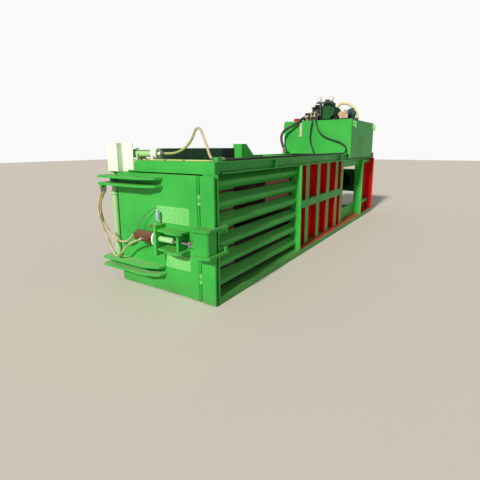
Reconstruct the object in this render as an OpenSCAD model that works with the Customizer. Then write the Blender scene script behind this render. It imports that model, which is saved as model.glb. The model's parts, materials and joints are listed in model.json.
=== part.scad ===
/* [Bed and chamber] */
// Length of the bed from the front face to the rear face
overall_l = 6200; // [5900:50:6900]
// Height of the deck above the floor
deck_h = 1400; // [1300:10:1500]
// Clear width of the baling chamber
chamber_w = 1030; // [980:10:1150]
// Thickness of the chamber wall plates
wall_t = 15; // [12:1:20]
// Depth of the upright frame plates outside the walls
post_d = 160; // [150:5:200]
// Thickness of the upright frame plates
post_t = 18; // [14:1:25]
// Thickness of the front frame plate
front_t = 25; // [20:1:32]
// Height of the bottom rails
rail_h = 80; // [70:5:100]
// Thickness of the floor plate
floor_t = 20; // [16:1:25]

/* [Chamber ribs and wire slots] */
// Distance from the front face to the middle frame plate
chamber_l = 1937; // [1900:10:2000]
// Height of the lowest rib's middle line
rib_z0 = 180; // [175:1:190]
// Depth of a folded rib
rib_d = 90; // [70:1:100]
// Width of a folded rib's nose
rib_nose = 40; // [30:1:50]
// Thickness of the folded plates
fold_t = 10; // [8:1:12]
// Height of a wire slot
slot_h = 45; // [38:1:48]
// Distance from the front face to the start of the wire slots
slot_start = 500; // [450:10:600]

/* [Press section] */
// Distance between two upright ribs of the press section
press_pitch = 450; // [440:5:460]
// Width of an upright rib
press_rib_w = 120; // [100:5:140]
// Height of the waist band's lower edge
waist_z = 650; // [600:10:700]
// Height of the waist band
waist_h = 115; // [100:5:130]
// Distance from the front face to the end of the press section
press_end = 4060; // [4000:10:4100]
// Length of the open service bay
bay_l = 1160; // [1100:10:1200]
// Distance from the front face to the front edge of the feed opening
feed_start = 1600; // [1550:10:1650]
// Distance from the front face to the rear edge of the feed opening
feed_end = 3000; // [2950:10:3050]

/* [Ram and main cylinder] */
// Length of the ram body
ram_l = 900; // [800:10:950]
// Running gap between ram and chamber
ram_gap = 8; // [5:1:10]
// Outer diameter of the main cylinder
barrel_d = 300; // [280:5:320]
// Bore of the main cylinder
bore_d = 250; // [230:5:260]
// Diameter of the main piston rod
rod_d = 180; // [150:5:200]
// Height of the main cylinder's axis
cylinder_z = 740; // [720:5:760]

/* [Door and lock] */
// Thickness of the door leaf
leaf_t = 30; // [25:1:32]
// Gap between the door leaf and the front face
leaf_gap = 8; // [6:1:10]
// Distance of the hinge shaft's axis from the centre line
hinge_x = 770; // [765:1:780]
// Diameter of the hinge shaft
shaft_d = 70; // [60:1:76]
// Thickness of a hinge strap
strap_t = 24; // [20:1:26]
// Distance from hinge axis to crank pin
crank_r = 105; // [100:1:108]
// Distance of the claw's pivot from the centre line
claw_x = 512; // [508:1:516]
// Thickness of the claw's jaw plates
jaw_t = 26; // [24:1:32]
// Height of the lock cylinder's axis
lock_z = 620; // [615:1:625]
// Outer diameter of the lock cylinder
lock_d = 118; // [100:2:120]

/* [Tank and power unit] */
// Distance from the front face to the tank
tank_start = 4200; // [4150:10:4300]
// Length of the tank
tank_l = 1700; // [1600:10:1750]
// Height of the tank above the deck
tank_h = 645; // [600:5:700]
// Thickness of the tank's plates
tank_t = 8; // [6:1:10]
// Diameter of the main motor's casing
motor_d = 250; // [230:5:260]
// Length of the main motor's casing
motor_l = 420; // [400:10:450]

/* [Hidden] */
$fn = 48;
RIBS = 6;
PRESS_RIBS = 4;
RUN_GAP = 0.06;
LOOSE_GAP = 0.3;

front = -overall_l / 2;
rear = overall_l / 2;
x_in = chamber_w / 2;
x_wall = x_in + wall_t;
x_rib = x_wall + rib_d;
x_out = x_wall + post_d;
x_chord = x_out - 30;
chord_h = 120;
chord_t = 12;
chord_z = deck_h - chord_h;
roof_t = 15;
roof_z = chord_z;
floor_z = rail_h + floor_t;
front_in = front + front_t;
rear_in = rear - post_t;
y_mid = front + chamber_l;
y_press = y_mid + post_t;
y_bay = front + press_end;
y_post2 = y_bay + bay_l;
y_feed0 = front + feed_start;
y_feed1 = front + feed_end;
bay_post_w = 130;
press_rib_y0 = y_press + 375;
slot_end = y_mid - 37;
bay_sill_z = 330;
bay_head_z = chord_z - 130;
rib_pitch = (chord_z - 11.5 - rib_z0 + slot_h / 2) / (RIBS - 0.5);
rib_base = rib_pitch - slot_h;

ram_y = front + 3050;
platen_t = 60;
ram_top = roof_z - ram_gap;
gland_l = 70;
barrel_y0 = ram_y + 450;
barrel_y1 = rear - 60;
head_y0 = rear - 250;
head_t = 70;
flange_d = barrel_d + 130;
flange_t = 40;
piston_l = 120;
ram_stroke = 2300;
apron_l = ram_stroke + feed_end - 3050 + 10;

hinge_y = front - 5;
leaf_y1 = front - leaf_gap;
leaf_y0 = leaf_y1 - leaf_t;
leaf_x0 = -(x_out - 13);
leaf_x1 = claw_x - 12;
leaf_z0 = 15;
leaf_z1 = chord_z - 10;
strap_z = [210, 295, leaf_z1 - 125, leaf_z1 - 45];
lug_t = 40;
lug_z = [(strap_z[0] + strap_z[1]) / 2, (strap_z[2] + strap_z[3]) / 2];
crank_z = chord_z - 2;
crank_top = deck_h - 2;
crank_y = hinge_y + crank_r * 0.8535;
door_cyl_z = deck_h + 72;
door_cyl_d = 76;
door_bore_r = 30;
claw_y = front - 42;
lock_y = front - 125;
jaw_z = [lock_z - 90, lock_z + 164];
knuckle_z = [260, leaf_z1 - 230];
knuckle_h = 100;
knuckle_r = 25;

tank_y0 = front + tank_start;
tank_y1 = tank_y0 + tank_l;
tank_z1 = deck_h + tank_h;
motor_x = 90;
motor_y = tank_y0 + 380;
motor_z = tank_z1 + 60 + motor_d / 2;
pump_r = 75;
port_h = 90;

red = "#c4161c";
green = "#3fae49";
dark_green = "#1f6b3a";
steel = "#b9bcc0";
primer = "#7a4632";
black = "#1b1b1c";

// A box from its lowest to its highest corner
module block(lo, hi) translate(lo) cube(hi - lo);

// Puts a right-hand piece on the right (1) or the left (-1)
module on_side(s) {
    if (s < 0) mirror([1, 0, 0]) children();
    else children();
}

// Extrudes an outline in X and Z along the bed
module along(y0, y1) translate([0, y1, 0]) rotate([90, 0, 0]) linear_extrude(y1 - y0) children();

// A round bar with its axis along X, Y or Z
module bar_x(x0, x1, r) translate([x0, 0, 0]) rotate([0, 90, 0]) cylinder(r = r, h = x1 - x0);
module bar_y(y0, y1, r) translate([0, y1, 0]) rotate([90, 0, 0]) cylinder(r = r, h = y1 - y0);

// Tube with flat sides swept through a list of points
function unit(v) = v / norm(v);
function heading(p, i) = i == 0 ? unit(p[1] - p[0])
    : i == len(p) - 1 ? unit(p[i] - p[i - 1]) : unit(unit(p[i + 1] - p[i]) + unit(p[i] - p[i - 1]));
function side_of(t, last) = unit(last - t * (last * t));
function frames(p, i, last) = i == len(p) ? []
    : let (t = heading(p, i), u = side_of(t, last)) concat([[u, cross(t, u)]], frames(p, i + 1, u));
module hose(p, r, start) {
    n = 8;
    f = frames(p, 0, start);
    pts = [for (i = [0:len(p) - 1]) for (k = [0:n - 1])
        p[i] + r * (cos(360 * k / n) * f[i][0] + sin(360 * k / n) * f[i][1])];
    skin = [for (i = [0:len(p) - 2]) for (k = [0:n - 1])
        [i * n + k, (i + 1) * n + k, (i + 1) * n + (k + 1) % n, i * n + (k + 1) % n]];
    ends = [[for (k = [0:n - 1]) k], [for (k = [n - 1:-1:0]) (len(p) - 1) * n + k]];
    polyhedron(pts, concat(skin, ends), convexity = 6);
}

// Bottom rails of box section with the cross members between them
module base_frame() color(green) {
    member_w = 100;
    members = 9;
    span = rear_in - front_in - member_w;
    difference() {
        union() for (s = [1, -1]) on_side(s) block([x_wall, front_in, 0], [x_out, rear_in, rail_h]);
        for (s = [1, -1]) on_side(s)
            block([x_wall + fold_t, front_in - 1, fold_t], [x_out - fold_t, rear_in + 1, rail_h - fold_t]);
    }
    for (i = [0:members - 1]) let (y = front_in + span * i / (members - 1))
        block([-x_wall, y, 0], [x_wall, y + member_w, rail_h]);
}

module floor_plate() color(steel) block([-x_in, front, rail_h], [x_in, rear, floor_z]);

// Front frame plate, open for the bale, with the top beam behind its band
band_x = 428;
module front_portal() color(green) {
    beam_d = 145;
    top = roof_z;
    left = x_in + 25;
    outline = [[-x_out, 0], [x_out, 0], [x_out, chord_z], [x_chord, chord_z], [x_chord, deck_h],
        [-band_x + 30, deck_h], [-band_x + 10, deck_h - 8], [-band_x, deck_h - 30], [-band_x, top + 17],
        [-left, top + 17], [-left, leaf_z1], [-x_out, leaf_z1]];
    difference() {
        along(front, front_in) polygon(outline);
        block([-x_in, front - 1, rail_h], [x_in, front_in + 1, top]);
    }
    block([-band_x, front_in, deck_h - chord_t], [x_chord, front + beam_d, deck_h]);
    block([-band_x, front + beam_d - chord_t, top + roof_t], [x_wall, front + beam_d, deck_h]);
    block([x_chord - 50, front + 60, deck_h], [x_chord - 5, front + 130, deck_h + 40]);
}

function slot_z(i) = rib_z0 + rib_pitch * (i + 0.5);
module chamber_wall(s) color(primer) on_side(s) difference() {
    block([x_in, front_in, rail_h], [x_wall, y_press, roof_z]);
    for (i = [0:RIBS - 2])
        block([x_in - 1, front + slot_start, slot_z(i) - slot_h / 2],
              [x_wall + 1, slot_end, slot_z(i) + slot_h / 2]);
}

// One folded rib: a hat section with sloping flanks
module rib_section() {
    slope = (rib_base - rib_nose) / 2 / rib_d;
    back = fold_t * sqrt(1 + slope * slope);
    function half(x) = rib_base / 2 - slope * x;
    difference() {
        polygon([[0, -half(0)], [rib_d, -half(rib_d)], [rib_d, half(rib_d)], [0, half(0)]]);
        polygon([[-1, -half(-1) + back], [rib_d - fold_t, -half(rib_d - fold_t) + back],
                 [rib_d - fold_t, half(rib_d - fold_t) - back], [-1, half(-1) - back]]);
    }
}
module chamber_ribs(s) color(green) on_side(s) for (i = [0:RIBS - 1])
    along(front_in, y_mid) translate([x_wall, rib_z0 + rib_pitch * i]) rib_section();

module middle_posts() color(green) for (s = [1, -1]) on_side(s)
    block([x_wall, y_mid, rail_h], [x_out, y_press, chord_z]);

module press_wall(s) color(red) on_side(s)
    block([x_in, y_press, rail_h], [x_wall, y_bay, roof_z]);

// Upright folded ribs with the waist band that runs flush across them
module press_stiffeners(s) color(green) on_side(s) {
    band_end = y_bay - bay_post_w;
    difference() {
        union() {
            for (i = [0:PRESS_RIBS - 1]) let (y = press_rib_y0 + press_pitch * i)
                block([x_wall, y - press_rib_w / 2, rail_h], [x_rib, y + press_rib_w / 2, chord_z]);
            block([x_wall, y_press, waist_z], [x_rib, band_end, waist_z + waist_h]);
        }
        for (i = [0:PRESS_RIBS - 1]) let (y = press_rib_y0 + press_pitch * i, w = press_rib_w / 2 - fold_t)
            block([x_wall - 1, y - w, rail_h - 1], [x_rib - fold_t, y + w, chord_z + 1]);
    }
}

// End post, sill, header and rear plate round the open service bay
module bay_frame(s) color(green) on_side(s) {
    sill_d = 30;
    difference() {
        block([x_wall, y_bay - bay_post_w, rail_h], [x_rib, y_bay, chord_z]);
        block([x_wall - 1, y_bay - bay_post_w + fold_t, rail_h - 1],
              [x_rib - fold_t, y_bay - fold_t, chord_z + 1]);
    }
    block([x_in, y_bay, rail_h], [x_in + sill_d, y_post2, bay_sill_z]);
    block([x_in, y_bay, bay_head_z], [x_in + rib_d, y_post2, chord_z]);
    block([x_wall, y_post2, rail_h], [x_out, y_post2 + post_t, chord_z]);
    block([x_in, y_post2, rail_h], [x_wall, y_post2 + post_t, roof_z]);
}

// Rear side wall with a bar near its top and one near its foot
module rear_wall(s) color(red) on_side(s) {
    y0 = y_post2 + post_t;
    bar_d = 60;
    bar_h = 70;
    block([x_in, y0, rail_h], [x_wall, rear_in, roof_z]);
    for (z = [250, chord_z - 100]) block([x_wall, y0, z], [x_wall + bar_d, rear_in, z + bar_h]);
}

// Beam with upright web and flat flanges along the deck's edge
module top_chord(s) color(green) {
    y0 = front + (s > 0 ? 145 : 270);
    web_x = x_chord - 40;
    on_side(s) {
        block([web_x - chord_t, y0, chord_z], [web_x, rear_in, deck_h]);
        for (z = [chord_z, deck_h - chord_t]) block([x_wall, y0, z], [x_chord, rear_in, z + chord_t]);
        for (y = [front + 1230, y_bay - 300])
            block([web_x - 1, y, chord_z], [x_chord, y + chord_t * 2, deck_h]);
    }
    if (s < 0) translate([-600, tank_y0 - 182, deck_h]) cylinder(r = 34, h = 24);
}

// Rear frame plate, open behind the crosshead
module rear_portal() color(green) difference() {
    along(rear_in, rear) polygon([[-x_out, 0], [x_out, 0], [x_out, chord_z], [x_chord, chord_z],
        [x_chord, deck_h], [-x_chord, deck_h], [-x_chord, chord_z], [-x_out, chord_z]]);
    block([-x_in, rear_in - 1, rail_h], [x_in, rear + 1, roof_z]);
}

// Thrust plate between the walls, with webs behind it
head_z0 = cylinder_z - 260;
head_z1 = cylinder_z + 260;
web_t = 30;
module cylinder_crosshead() color(green) difference() {
    union() {
        block([-x_in, head_y0, head_z0], [x_in, head_y0 + head_t, head_z1]);
        for (z = [head_z0, head_z1 - web_t]) block([-x_in, head_y0 + head_t, z], [x_in, rear_in, z + web_t]);
        for (x = [-380, 350])
            block([x, head_y0 + head_t, head_z0 + web_t], [x + web_t, rear_in, head_z1 - web_t]);
    }
    translate([0, 0, cylinder_z]) bar_y(head_y0 - 1, rear + 1, barrel_d / 2 + RUN_GAP);
}

// Roof plates in front of and behind the feed opening; the front one has cross bars and a box across them
box_y = [front + 600, front + 850];
box_x1 = 310;
box_h = 124;
module roof_plates() color(green) {
    y0 = front + 145;
    bars = 5;
    bar_h = deck_h - roof_z - roof_t;
    step = (y_feed0 - 340 - y0) / bars;
    block([-x_wall, front_in, roof_z], [x_wall, y_feed0, roof_z + roof_t]);
    block([-x_wall, y_feed1, roof_z], [x_wall, rear_in, roof_z + roof_t]);
    for (i = [0:bars - 1]) let (y = y0 + step * (i + 0.5)) block(
        [-x_wall + 20, y - 30, roof_z + roof_t], [x_wall - 20, y + 30, roof_z + roof_t + bar_h]);
    difference() {
        block([-x_chord, box_y[0], deck_h], [box_x1, box_y[1], deck_h + box_h]);
        block([-x_chord + fold_t, box_y[0] + fold_t, deck_h - 1],
              [box_x1 - fold_t, box_y[1] - fold_t, deck_h + box_h - fold_t]);
    }
    translate([-15, tank_y0 - 62, roof_z + roof_t]) cylinder(r = 22, h = 35);
}

// Box beam across the front edge of the feed opening with a sloping wedge on it
module shear_beam() color(green) {
    beam_l = 320;
    wedge_w = 130;
    wedge_h = 175;
    y0 = y_feed0 - beam_l;
    block([-x_wall, y0, roof_z + roof_t], [x_wall, y_feed0, deck_h]);
    rotate([90, 0, 90]) linear_extrude(wedge_w)
        polygon([[y0, deck_h - 10], [y_feed0, deck_h - 10], [y_feed0, deck_h + 12],
                 [y0 + 115, deck_h + wedge_h], [y0, deck_h + wedge_h]]);
}

knife_d = 40;
module fixed_knife() color(steel) difference() {
    block([-x_in + 15, y_feed0, roof_z - 2], [x_in - 15, y_feed0 + knife_d, roof_z + 58]);
    for (x = [-400:200:400]) translate([x, 0, roof_z + 35]) bar_y(y_feed0 + 20, y_feed0 + knife_d + 1, 14);
}

// Upstand round the feed opening on which a hopper is seated
module feed_rim() color(green) {
    for (s = [1, -1]) on_side(s)
        block([x_in, y_feed0, roof_z], [x_wall, y_feed1, deck_h]);
    block([-x_in, y_feed1 - wall_t, roof_z], [x_in, y_feed1, deck_h]);
}

// Two bevelled blocks behind which the claw's teeth hook
catch_x = x_out - 5;
catch_y1 = front + 72;
tooth_h = 45;
module lock_catch() color(green)
    for (z = [jaw_z[0] + jaw_t / 2 + 4, jaw_z[1] - jaw_t / 2 - 4 - tooth_h]) translate([0, 0, z])
        linear_extrude(tooth_h) polygon([[x_rib, front_in], [catch_x, front_in], [catch_x, catch_y1],
            [catch_x - 30, catch_y1 + 27], [x_rib, catch_y1 + 27]]);

// Fixed lugs that carry the hinge shaft
module hinge_lugs() color(green) for (z = lug_z) difference() {
    translate([0, 0, z - lug_t / 2]) union() {
        translate([-hinge_x, hinge_y, 0]) cylinder(r = shaft_d / 2 + 15, h = lug_t);
        block([-hinge_x, front, 0], [-x_out, front + 60, lug_t]);
        block([-x_out - 1, front_in, 0], [-x_rib - 5, front + 60, lug_t]);
    }
    translate([-hinge_x, hinge_y, z - lug_t]) cylinder(r = shaft_d / 2 + RUN_GAP, h = 2 * lug_t);
}

module main_cylinder() color(dark_green) translate([0, 0, cylinder_z]) {
    difference() {
        union() {
            bar_y(barrel_y0, barrel_y1, barrel_d / 2);
            bar_y(head_y0 - flange_t, head_y0, flange_d / 2);
            bar_y(barrel_y0, barrel_y0 + 40, barrel_d / 2 + 20);
            translate([0, barrel_y1 - 60, barrel_d / 2 - 5]) cylinder(r = 35, h = 30);
            translate([0, barrel_y0 + 110, barrel_d / 2 - 5]) cylinder(r = 35, h = 30);
        }
        bar_y(barrel_y0 - 1, barrel_y1 - 50, bore_d / 2);
    }
    for (a = [0:30:330]) rotate([0, a, 0]) translate([flange_d / 2 - 28, 0, 0])
        bar_y(head_y0 - flange_t - 20, head_y0 - flange_t, 18);
}

module cylinder_gland() color(steel) translate([0, 0, cylinder_z]) difference() {
    union() {
        bar_y(barrel_y0 - 30, barrel_y0, barrel_d / 2 + 20);
        bar_y(barrel_y0, barrel_y0 + gland_l, bore_d / 2 - RUN_GAP);
    }
    bar_y(barrel_y0 - 31, barrel_y0 + gland_l + 1, rod_d / 2 + RUN_GAP);
    for (a = [15:30:345]) rotate([0, a, 0]) translate([barrel_d / 2 + 3, 0, 0])
        bar_y(barrel_y0 - 31, barrel_y0 - 18, 11);
}

// Box-shaped ram, open at the back so that it runs over the cylinder
module ram_body() color(dark_green) {
    x = x_in - ram_gap;
    z0 = floor_z + LOOSE_GAP;
    y1 = ram_y + ram_l;
    plate = 25;
    difference() {
        block([-x, ram_y, z0], [x, y1, ram_top - 20]);
        block([-x + plate, ram_y + platen_t, z0 + plate], [x - plate, y1 + 1, ram_top - 45]);
    }
    translate([0, 0, cylinder_z]) bar_y(ram_y + platen_t, ram_y + platen_t + 40, rod_d / 2 + 50);
    for (x = [-260, 235])
        block([x, ram_y + platen_t, z0 + plate], [x + plate, ram_y + platen_t + 150, cylinder_z - 260]);
}

// Top plate that closes the feed opening as the ram goes forward
module ram_apron() color(steel)
    block([-x_in + ram_gap, ram_y, ram_top - 20], [x_in - ram_gap, ram_y + apron_l, ram_top]);

module ram_rod() color(steel) translate([0, 0, cylinder_z]) {
    y0 = ram_y + platen_t + 40;
    y1 = barrel_y1 - 80;
    bar_y(y0, y1 - piston_l, rod_d / 2);
    bar_y(y1 - piston_l, y1, bore_d / 2 - RUN_GAP);
}

module ram_knife() color(steel)
    block([-x_in + 15, ram_y - 25, ram_top - 55], [x_in - 15, ram_y, ram_top + 4]);

// Oil tank of folded plate, open under its lid, with a skirt over the chords
module tank() color(green) {
    skirt_t = 26;
    foot_h = 20;
    skirt_z = deck_h - 80;
    top = tank_z1 - tank_t;
    difference() {
        block([-x_out, tank_y0, deck_h], [x_out, tank_y1, top]);
        block([-x_out + tank_t, tank_y0 + tank_t, deck_h + foot_h + tank_t],
              [x_out - tank_t, tank_y1 - tank_t, top + 1]);
        block([-x_out + skirt_t + 90, tank_y0 + 80, deck_h - 1],
              [x_out - skirt_t - 90, tank_y1 - 80, deck_h + foot_h]);
    }
    for (s = [1, -1]) on_side(s) block([x_out - skirt_t, tank_y0, skirt_z], [x_out, tank_y1, deck_h]);
    for (y = [tank_y0 + 70, tank_y1 - 110]) for (s = [1, -1]) on_side(s)
        translate([x_out, y + 20, top - 60]) lifting_hook();
}

// Hook of thick plate, welded to the tank's side, open at the top
module lifting_hook() translate([0, 10, 0]) rotate([90, 0, 0]) linear_extrude(20) difference() {
    polygon([[0, -50], [18, -50], [62, -110], [62, 10], [40, 30], [0, 40]]);
    translate([30, -12]) circle(r = 16);
}

cap_at = [112 - x_out, tank_y0 + 340];
module tank_lid() color(green) difference() {
    block([-x_out, tank_y0, tank_z1 - tank_t], [x_out, tank_y1, tank_z1]);
    translate([cap_at[0], cap_at[1], tank_z1 - tank_t - 1]) cylinder(r = 30, h = tank_t + 2);
}

module filler_cap() color(red) translate([cap_at[0], cap_at[1], tank_z1]) {
    cylinder(r = 45, h = 22);
    translate([0, 0, 22]) cylinder(r = 58, h = 45);
    translate([0, 0, 67]) cylinder(r1 = 58, r2 = 40, h = 14, $fn = 48);
}

// Level gauge: a flat case with a head and a foot on the tank's front
module level_gauge() color("#e6e2c8") {
    z0 = deck_h + 336;
    z1 = tank_z1 - 36;
    for (z = [z0, z1 - 36]) block([-352, tank_y0 - 24, z], [-300, tank_y0, z + 36]);
    block([-346, tank_y0 - 14, z0 + 36], [-306, tank_y0, z1 - 36]);
}

// Skid on the tank's lid that carries both motors
skid_h = 50;
module motor_skid() {
    for (y = [motor_y + 40, motor_y + motor_l - 60])
        block([motor_x - 145, y, tank_z1], [small_x + 80, y + 70, tank_z1 + skid_h - 14]);
    block([motor_x - 145, motor_y + 10, tank_z1 + skid_h - 14],
          [small_x + 80, motor_y + motor_l, tank_z1 + skid_h]);
}

// Foot-mounted motor with fins, a shield in front, terminal box, and the pump behind it
module main_motor() color(dark_green) {
    r = motor_d / 2;
    fins = 28;
    end = motor_y + motor_l;
    low = motor_z - tank_z1;
    motor_skid();
    translate([motor_x, 0, motor_z]) {
        bar_y(motor_y, end, r - 12);
        for (i = [0:fins - 1]) rotate([0, 360 * i / fins, 0])
            block([r - 14, motor_y + 90, -2.5], [r, end - 20, 2.5]);
        bar_y(end, end + 24, r + 10);
        bar_y(motor_y + 18, motor_y + 80, r - 4);
        translate([-40, motor_y + 18, 0]) rotate([90, 0, 0]) linear_extrude(36)
            polygon([[-108, skid_h - low], [-108, 52], [-15, 244], [68, 240], [84, 200], [84, skid_h - low]]);
        bar_y(motor_y - 26, motor_y - 18, 34);
        block([-60, motor_y + 130, r - 16], [60, motor_y + 270, r + 70]);
        for (x = [-100, 64])
            block([x, motor_y + 110, skid_h - low], [x + 36, end - 30, -r * 0.55]);
        bar_y(end + 24, end + 80, r - 30);
        bar_y(end + 80, end + 250, pump_r);
        translate([0, end + 160, 0]) cylinder(r = 40, h = port_h);
    }
}

// Smaller motor beside the main one with its two round pump ends towards the front
small_x = 500;
small_z = tank_z1 + skid_h + 110;
module circulation_motor() color("#2d5a63") {
    y0 = motor_y + 150;
    translate([small_x, 0, small_z]) {
        bar_y(y0, y0 + 200, 64);
        bar_y(y0 - 16, y0, 74);
        bar_y(y0 - 120, y0 - 16, 30);
        bar_y(y0 + 200, y0 + 230, 56);
    }
    block([small_x - 56, y0 + 20, tank_z1 + skid_h], [small_x + 56, y0 + 170, small_z - 52]);
    block([small_x - 36, y0 + 50, small_z + 54], [small_x + 36, y0 + 130, small_z + 92]);
    for (q = [[340, 130, 55], [425, 180, 38]])
        translate([q[0], 0, tank_z1 + q[1]]) bar_y(y0 - 110, y0 - 50, q[2]);
    block([350, y0 - 100, tank_z1 + skid_h], [small_x - 20, y0 - 60, small_z + 20]);
}

// Ported block with a flange, stepped towards the left
manifold_x0 = -330;
manifold_y = tank_y0 + 210;
module valve_manifold() color(black) {
    block([manifold_x0, manifold_y, tank_z1], [-60, manifold_y + 200, tank_z1 + 110]);
    block([-190, manifold_y + 20, tank_z1 + 110], [-60, manifold_y + 180, tank_z1 + 230]);
    for (x = [-290, -215, -140]) translate([x, manifold_y, tank_z1 + 60])
        rotate([90, 0, 0]) cylinder(r = 26, h = 45, $fn = 6);
    block([-60, manifold_y + 75, tank_z1 + 60], [-20, manifold_y + 125, tank_z1 + 348]);
    block([-130, manifold_y + 80, tank_z1 + 348], [215, manifold_y + 120, tank_z1 + 378]);
}

module solenoid_valves() color(black) {
    z = tank_z1 + 110;
    for (i = [0:1]) let (x = manifold_x0 + 10 + 66 * i) {
        block([x, manifold_y + 30, z], [x + 54, manifold_y + 170, z + 62]);
        translate([x + 27, 0, z + 32]) {
            bar_y(manifold_y - 60, manifold_y + 30, 23);
            bar_y(manifold_y + 170, manifold_y + 250, 23);
        }
    }
    for (i = [0:1]) let (x = -180 + 62 * i, z1 = tank_z1 + 230 + 40 * i) {
        block([x, manifold_y + 30, tank_z1 + 230], [x + 50, manifold_y + 170, z1 + 52]);
        translate([x + 25, 0, z1 + 22]) bar_y(manifold_y - 55, manifold_y + 30, 21);
    }
}

module pressure_gauges() color("#d9c9c2") for (x = [-76, 176]) translate([x, 0, tank_z1 + 430]) {
    bar_y(manifold_y + 76, manifold_y + 112, 42);
    translate([0, manifold_y + 95, -52]) cylinder(r = 9, h = 14, $fn = 24);
}

// Pale pipe that rises from the pump behind the motor in a small bend and falls to the lid in a wide one
bend_r = 110;
arch_r = 330;
module suction_pipe() color("#e4d9a8") {
    pipe_r = 26;
    y = motor_y + motor_l + 160;
    x = motor_x + bend_r;
    z = motor_z + port_h + 14;
    top = z + bend_r;
    translate([x, y, z]) rotate([90, 0, 0]) rotate([0, 0, 90])
        rotate_extrude(angle = 90, $fn = 48) translate([bend_r, 0]) circle(r = pipe_r);
    translate([x, y, top - arch_r]) rotate([90, 0, 0])
        rotate_extrude(angle = 90, $fn = 64) translate([arch_r, 0]) circle(r = pipe_r);
    translate([x - bend_r, y, z - 14]) cylinder(r = 42, h = 14);
    translate([x + arch_r, y, tank_z1]) cylinder(r = 46, h = 24);
    translate([x + arch_r, y, tank_z1 + 24]) cylinder(r = pipe_r, h = top - arch_r - tank_z1 - 24);
}

// Cylinder that turns the door, fixed along the deck's front edge by its foot plates
cyl_x0 = -520;
cyl_x1 = -130;
module door_cylinder() color("#e8efe2") {
    translate([0, crank_y, door_cyl_z]) difference() {
        union() {
            bar_x(cyl_x0, cyl_x1, door_cyl_d / 2);
            bar_x(cyl_x0, cyl_x0 + 50, door_cyl_d / 2 + 8);
            bar_x(cyl_x1 - 80, cyl_x1, door_cyl_d / 2 + 16);
            bar_x(cyl_x1, cyl_x1 + 30, 20);
            translate([cyl_x0 + 60, 0, door_cyl_d / 2 - 4]) cylinder(r = 18, h = 26);
        }
        bar_x(cyl_x0 - 1, cyl_x0 + 51, 22 + RUN_GAP);
        bar_x(cyl_x0 + 50, cyl_x1 - 30, door_bore_r);
    }
    for (x = [-420, -190]) difference() {
        block([x, crank_y - 60, deck_h], [x + 24, crank_y + 60, door_cyl_z]);
        translate([0, crank_y, door_cyl_z]) bar_x(x - 1, x + 25, door_cyl_d / 2 - 1);
    }
}

// Rod with piston and the slotted head that takes the crank pin
pin_r = 16;
pin_x = -hinge_x - crank_r * 0.70711;
slot_play = 4;
module door_rod() color(steel) {
    head = [[pin_x - 42, crank_y - 56, deck_h + 4], [pin_x + 98, crank_y + 56, deck_h + 176]];
    half = crank_r * 0.1465 + 1.5;
    difference() {
        union() {
            block(head[0], head[1]);
            translate([0, crank_y, door_cyl_z]) bar_x(pin_x + 98, cyl_x0 + 70, 22);
        }
        translate([pin_x, crank_y, deck_h]) linear_extrude(140)
            hull() for (s = [1, -1]) translate([0, s * half]) circle(r = pin_r + slot_play);
    }
    translate([0, crank_y, door_cyl_z]) bar_x(cyl_x0 + 70, cyl_x0 + 95, door_bore_r - RUN_GAP);
}

module hinge_shaft() color(steel) translate([-hinge_x, hinge_y, 0]) {
    foot_z = 160;
    collar_z = lug_z[0] + lug_t / 2 + LOOSE_GAP;
    translate([0, 0, foot_z]) cylinder(r = shaft_d / 2, h = crank_z + 22 - foot_z);
    translate([0, 0, collar_z]) cylinder(r = shaft_d / 2 + 15, h = strap_z[1] - strap_t / 2 - collar_z);
}

// Flat door of thick plate with the fixed knuckles of the claw hinge
module door_leaf() color(green) difference() {
    union() {
        block([leaf_x0, leaf_y0, leaf_z0], [leaf_x1, leaf_y1, leaf_z1]);
        for (z = knuckle_z) for (k = [0, 2])
            translate([claw_x, claw_y, z - knuckle_h / 2 + k * knuckle_h / 3])
                cylinder(r = knuckle_r, h = knuckle_h / 3);
    }
    for (z = knuckle_z) {
        translate([claw_x, claw_y, z - knuckle_h]) cylinder(r = 10 + RUN_GAP, h = 2 * knuckle_h);
        block([claw_x - knuckle_r - 4, leaf_y0 - 1, z - knuckle_h / 6 - 1],
              [leaf_x1 + 1, leaf_y1 + 1, z + knuckle_h / 6 + 1]);
    }
}

// Strap outline seen from above
module strap_outline() difference() {
    polygon([[-860, front - 130], [-830, front - 185], [-170, front - 185], [0, front - 120],
             [30, leaf_y0], [-x_out - 10, leaf_y0], [-hinge_x + 60, front + 40], [-840, front + 40],
             [-860, front + 20]]);
    translate([-hinge_x, hinge_y]) circle(r = shaft_d / 2 + RUN_GAP);
}
module door_straps() color(green) {
    for (z = strap_z) translate([0, 0, z - strap_t / 2]) linear_extrude(strap_t) strap_outline();
    for (y = [120, 160]) translate([-800, front - y, strap_z[2] - strap_t / 2 - 34]) cylinder(r = 18, h = 34);
}

// Crank on the shaft's head with an upright pin at the end of its arm
module door_crank() color("#e9f1e4") {
    arm_t = 40;
    difference() {
        union() {
            translate([-hinge_x, hinge_y, crank_z]) cylinder(r = shaft_d / 2 + 18, h = 46);
            block([-hinge_x - 20, hinge_y + 20, crank_z], [-hinge_x + 70, hinge_y + 190, crank_top]);
            block([-hinge_x - 20, hinge_y - 60, crank_z], [-hinge_x + 150, hinge_y + 16, deck_h + 184]);
            block([-hinge_x - 95, hinge_y + 40, crank_top - arm_t], [-hinge_x, hinge_y + 125, crank_top]);
        }
        translate([-hinge_x, hinge_y, crank_z - 1]) cylinder(r = shaft_d / 2 + RUN_GAP, h = 23);
    }
    translate([pin_x, hinge_y + crank_r * 0.70711, deck_h - 10]) cylinder(r = pin_r, h = 145);
}

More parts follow.
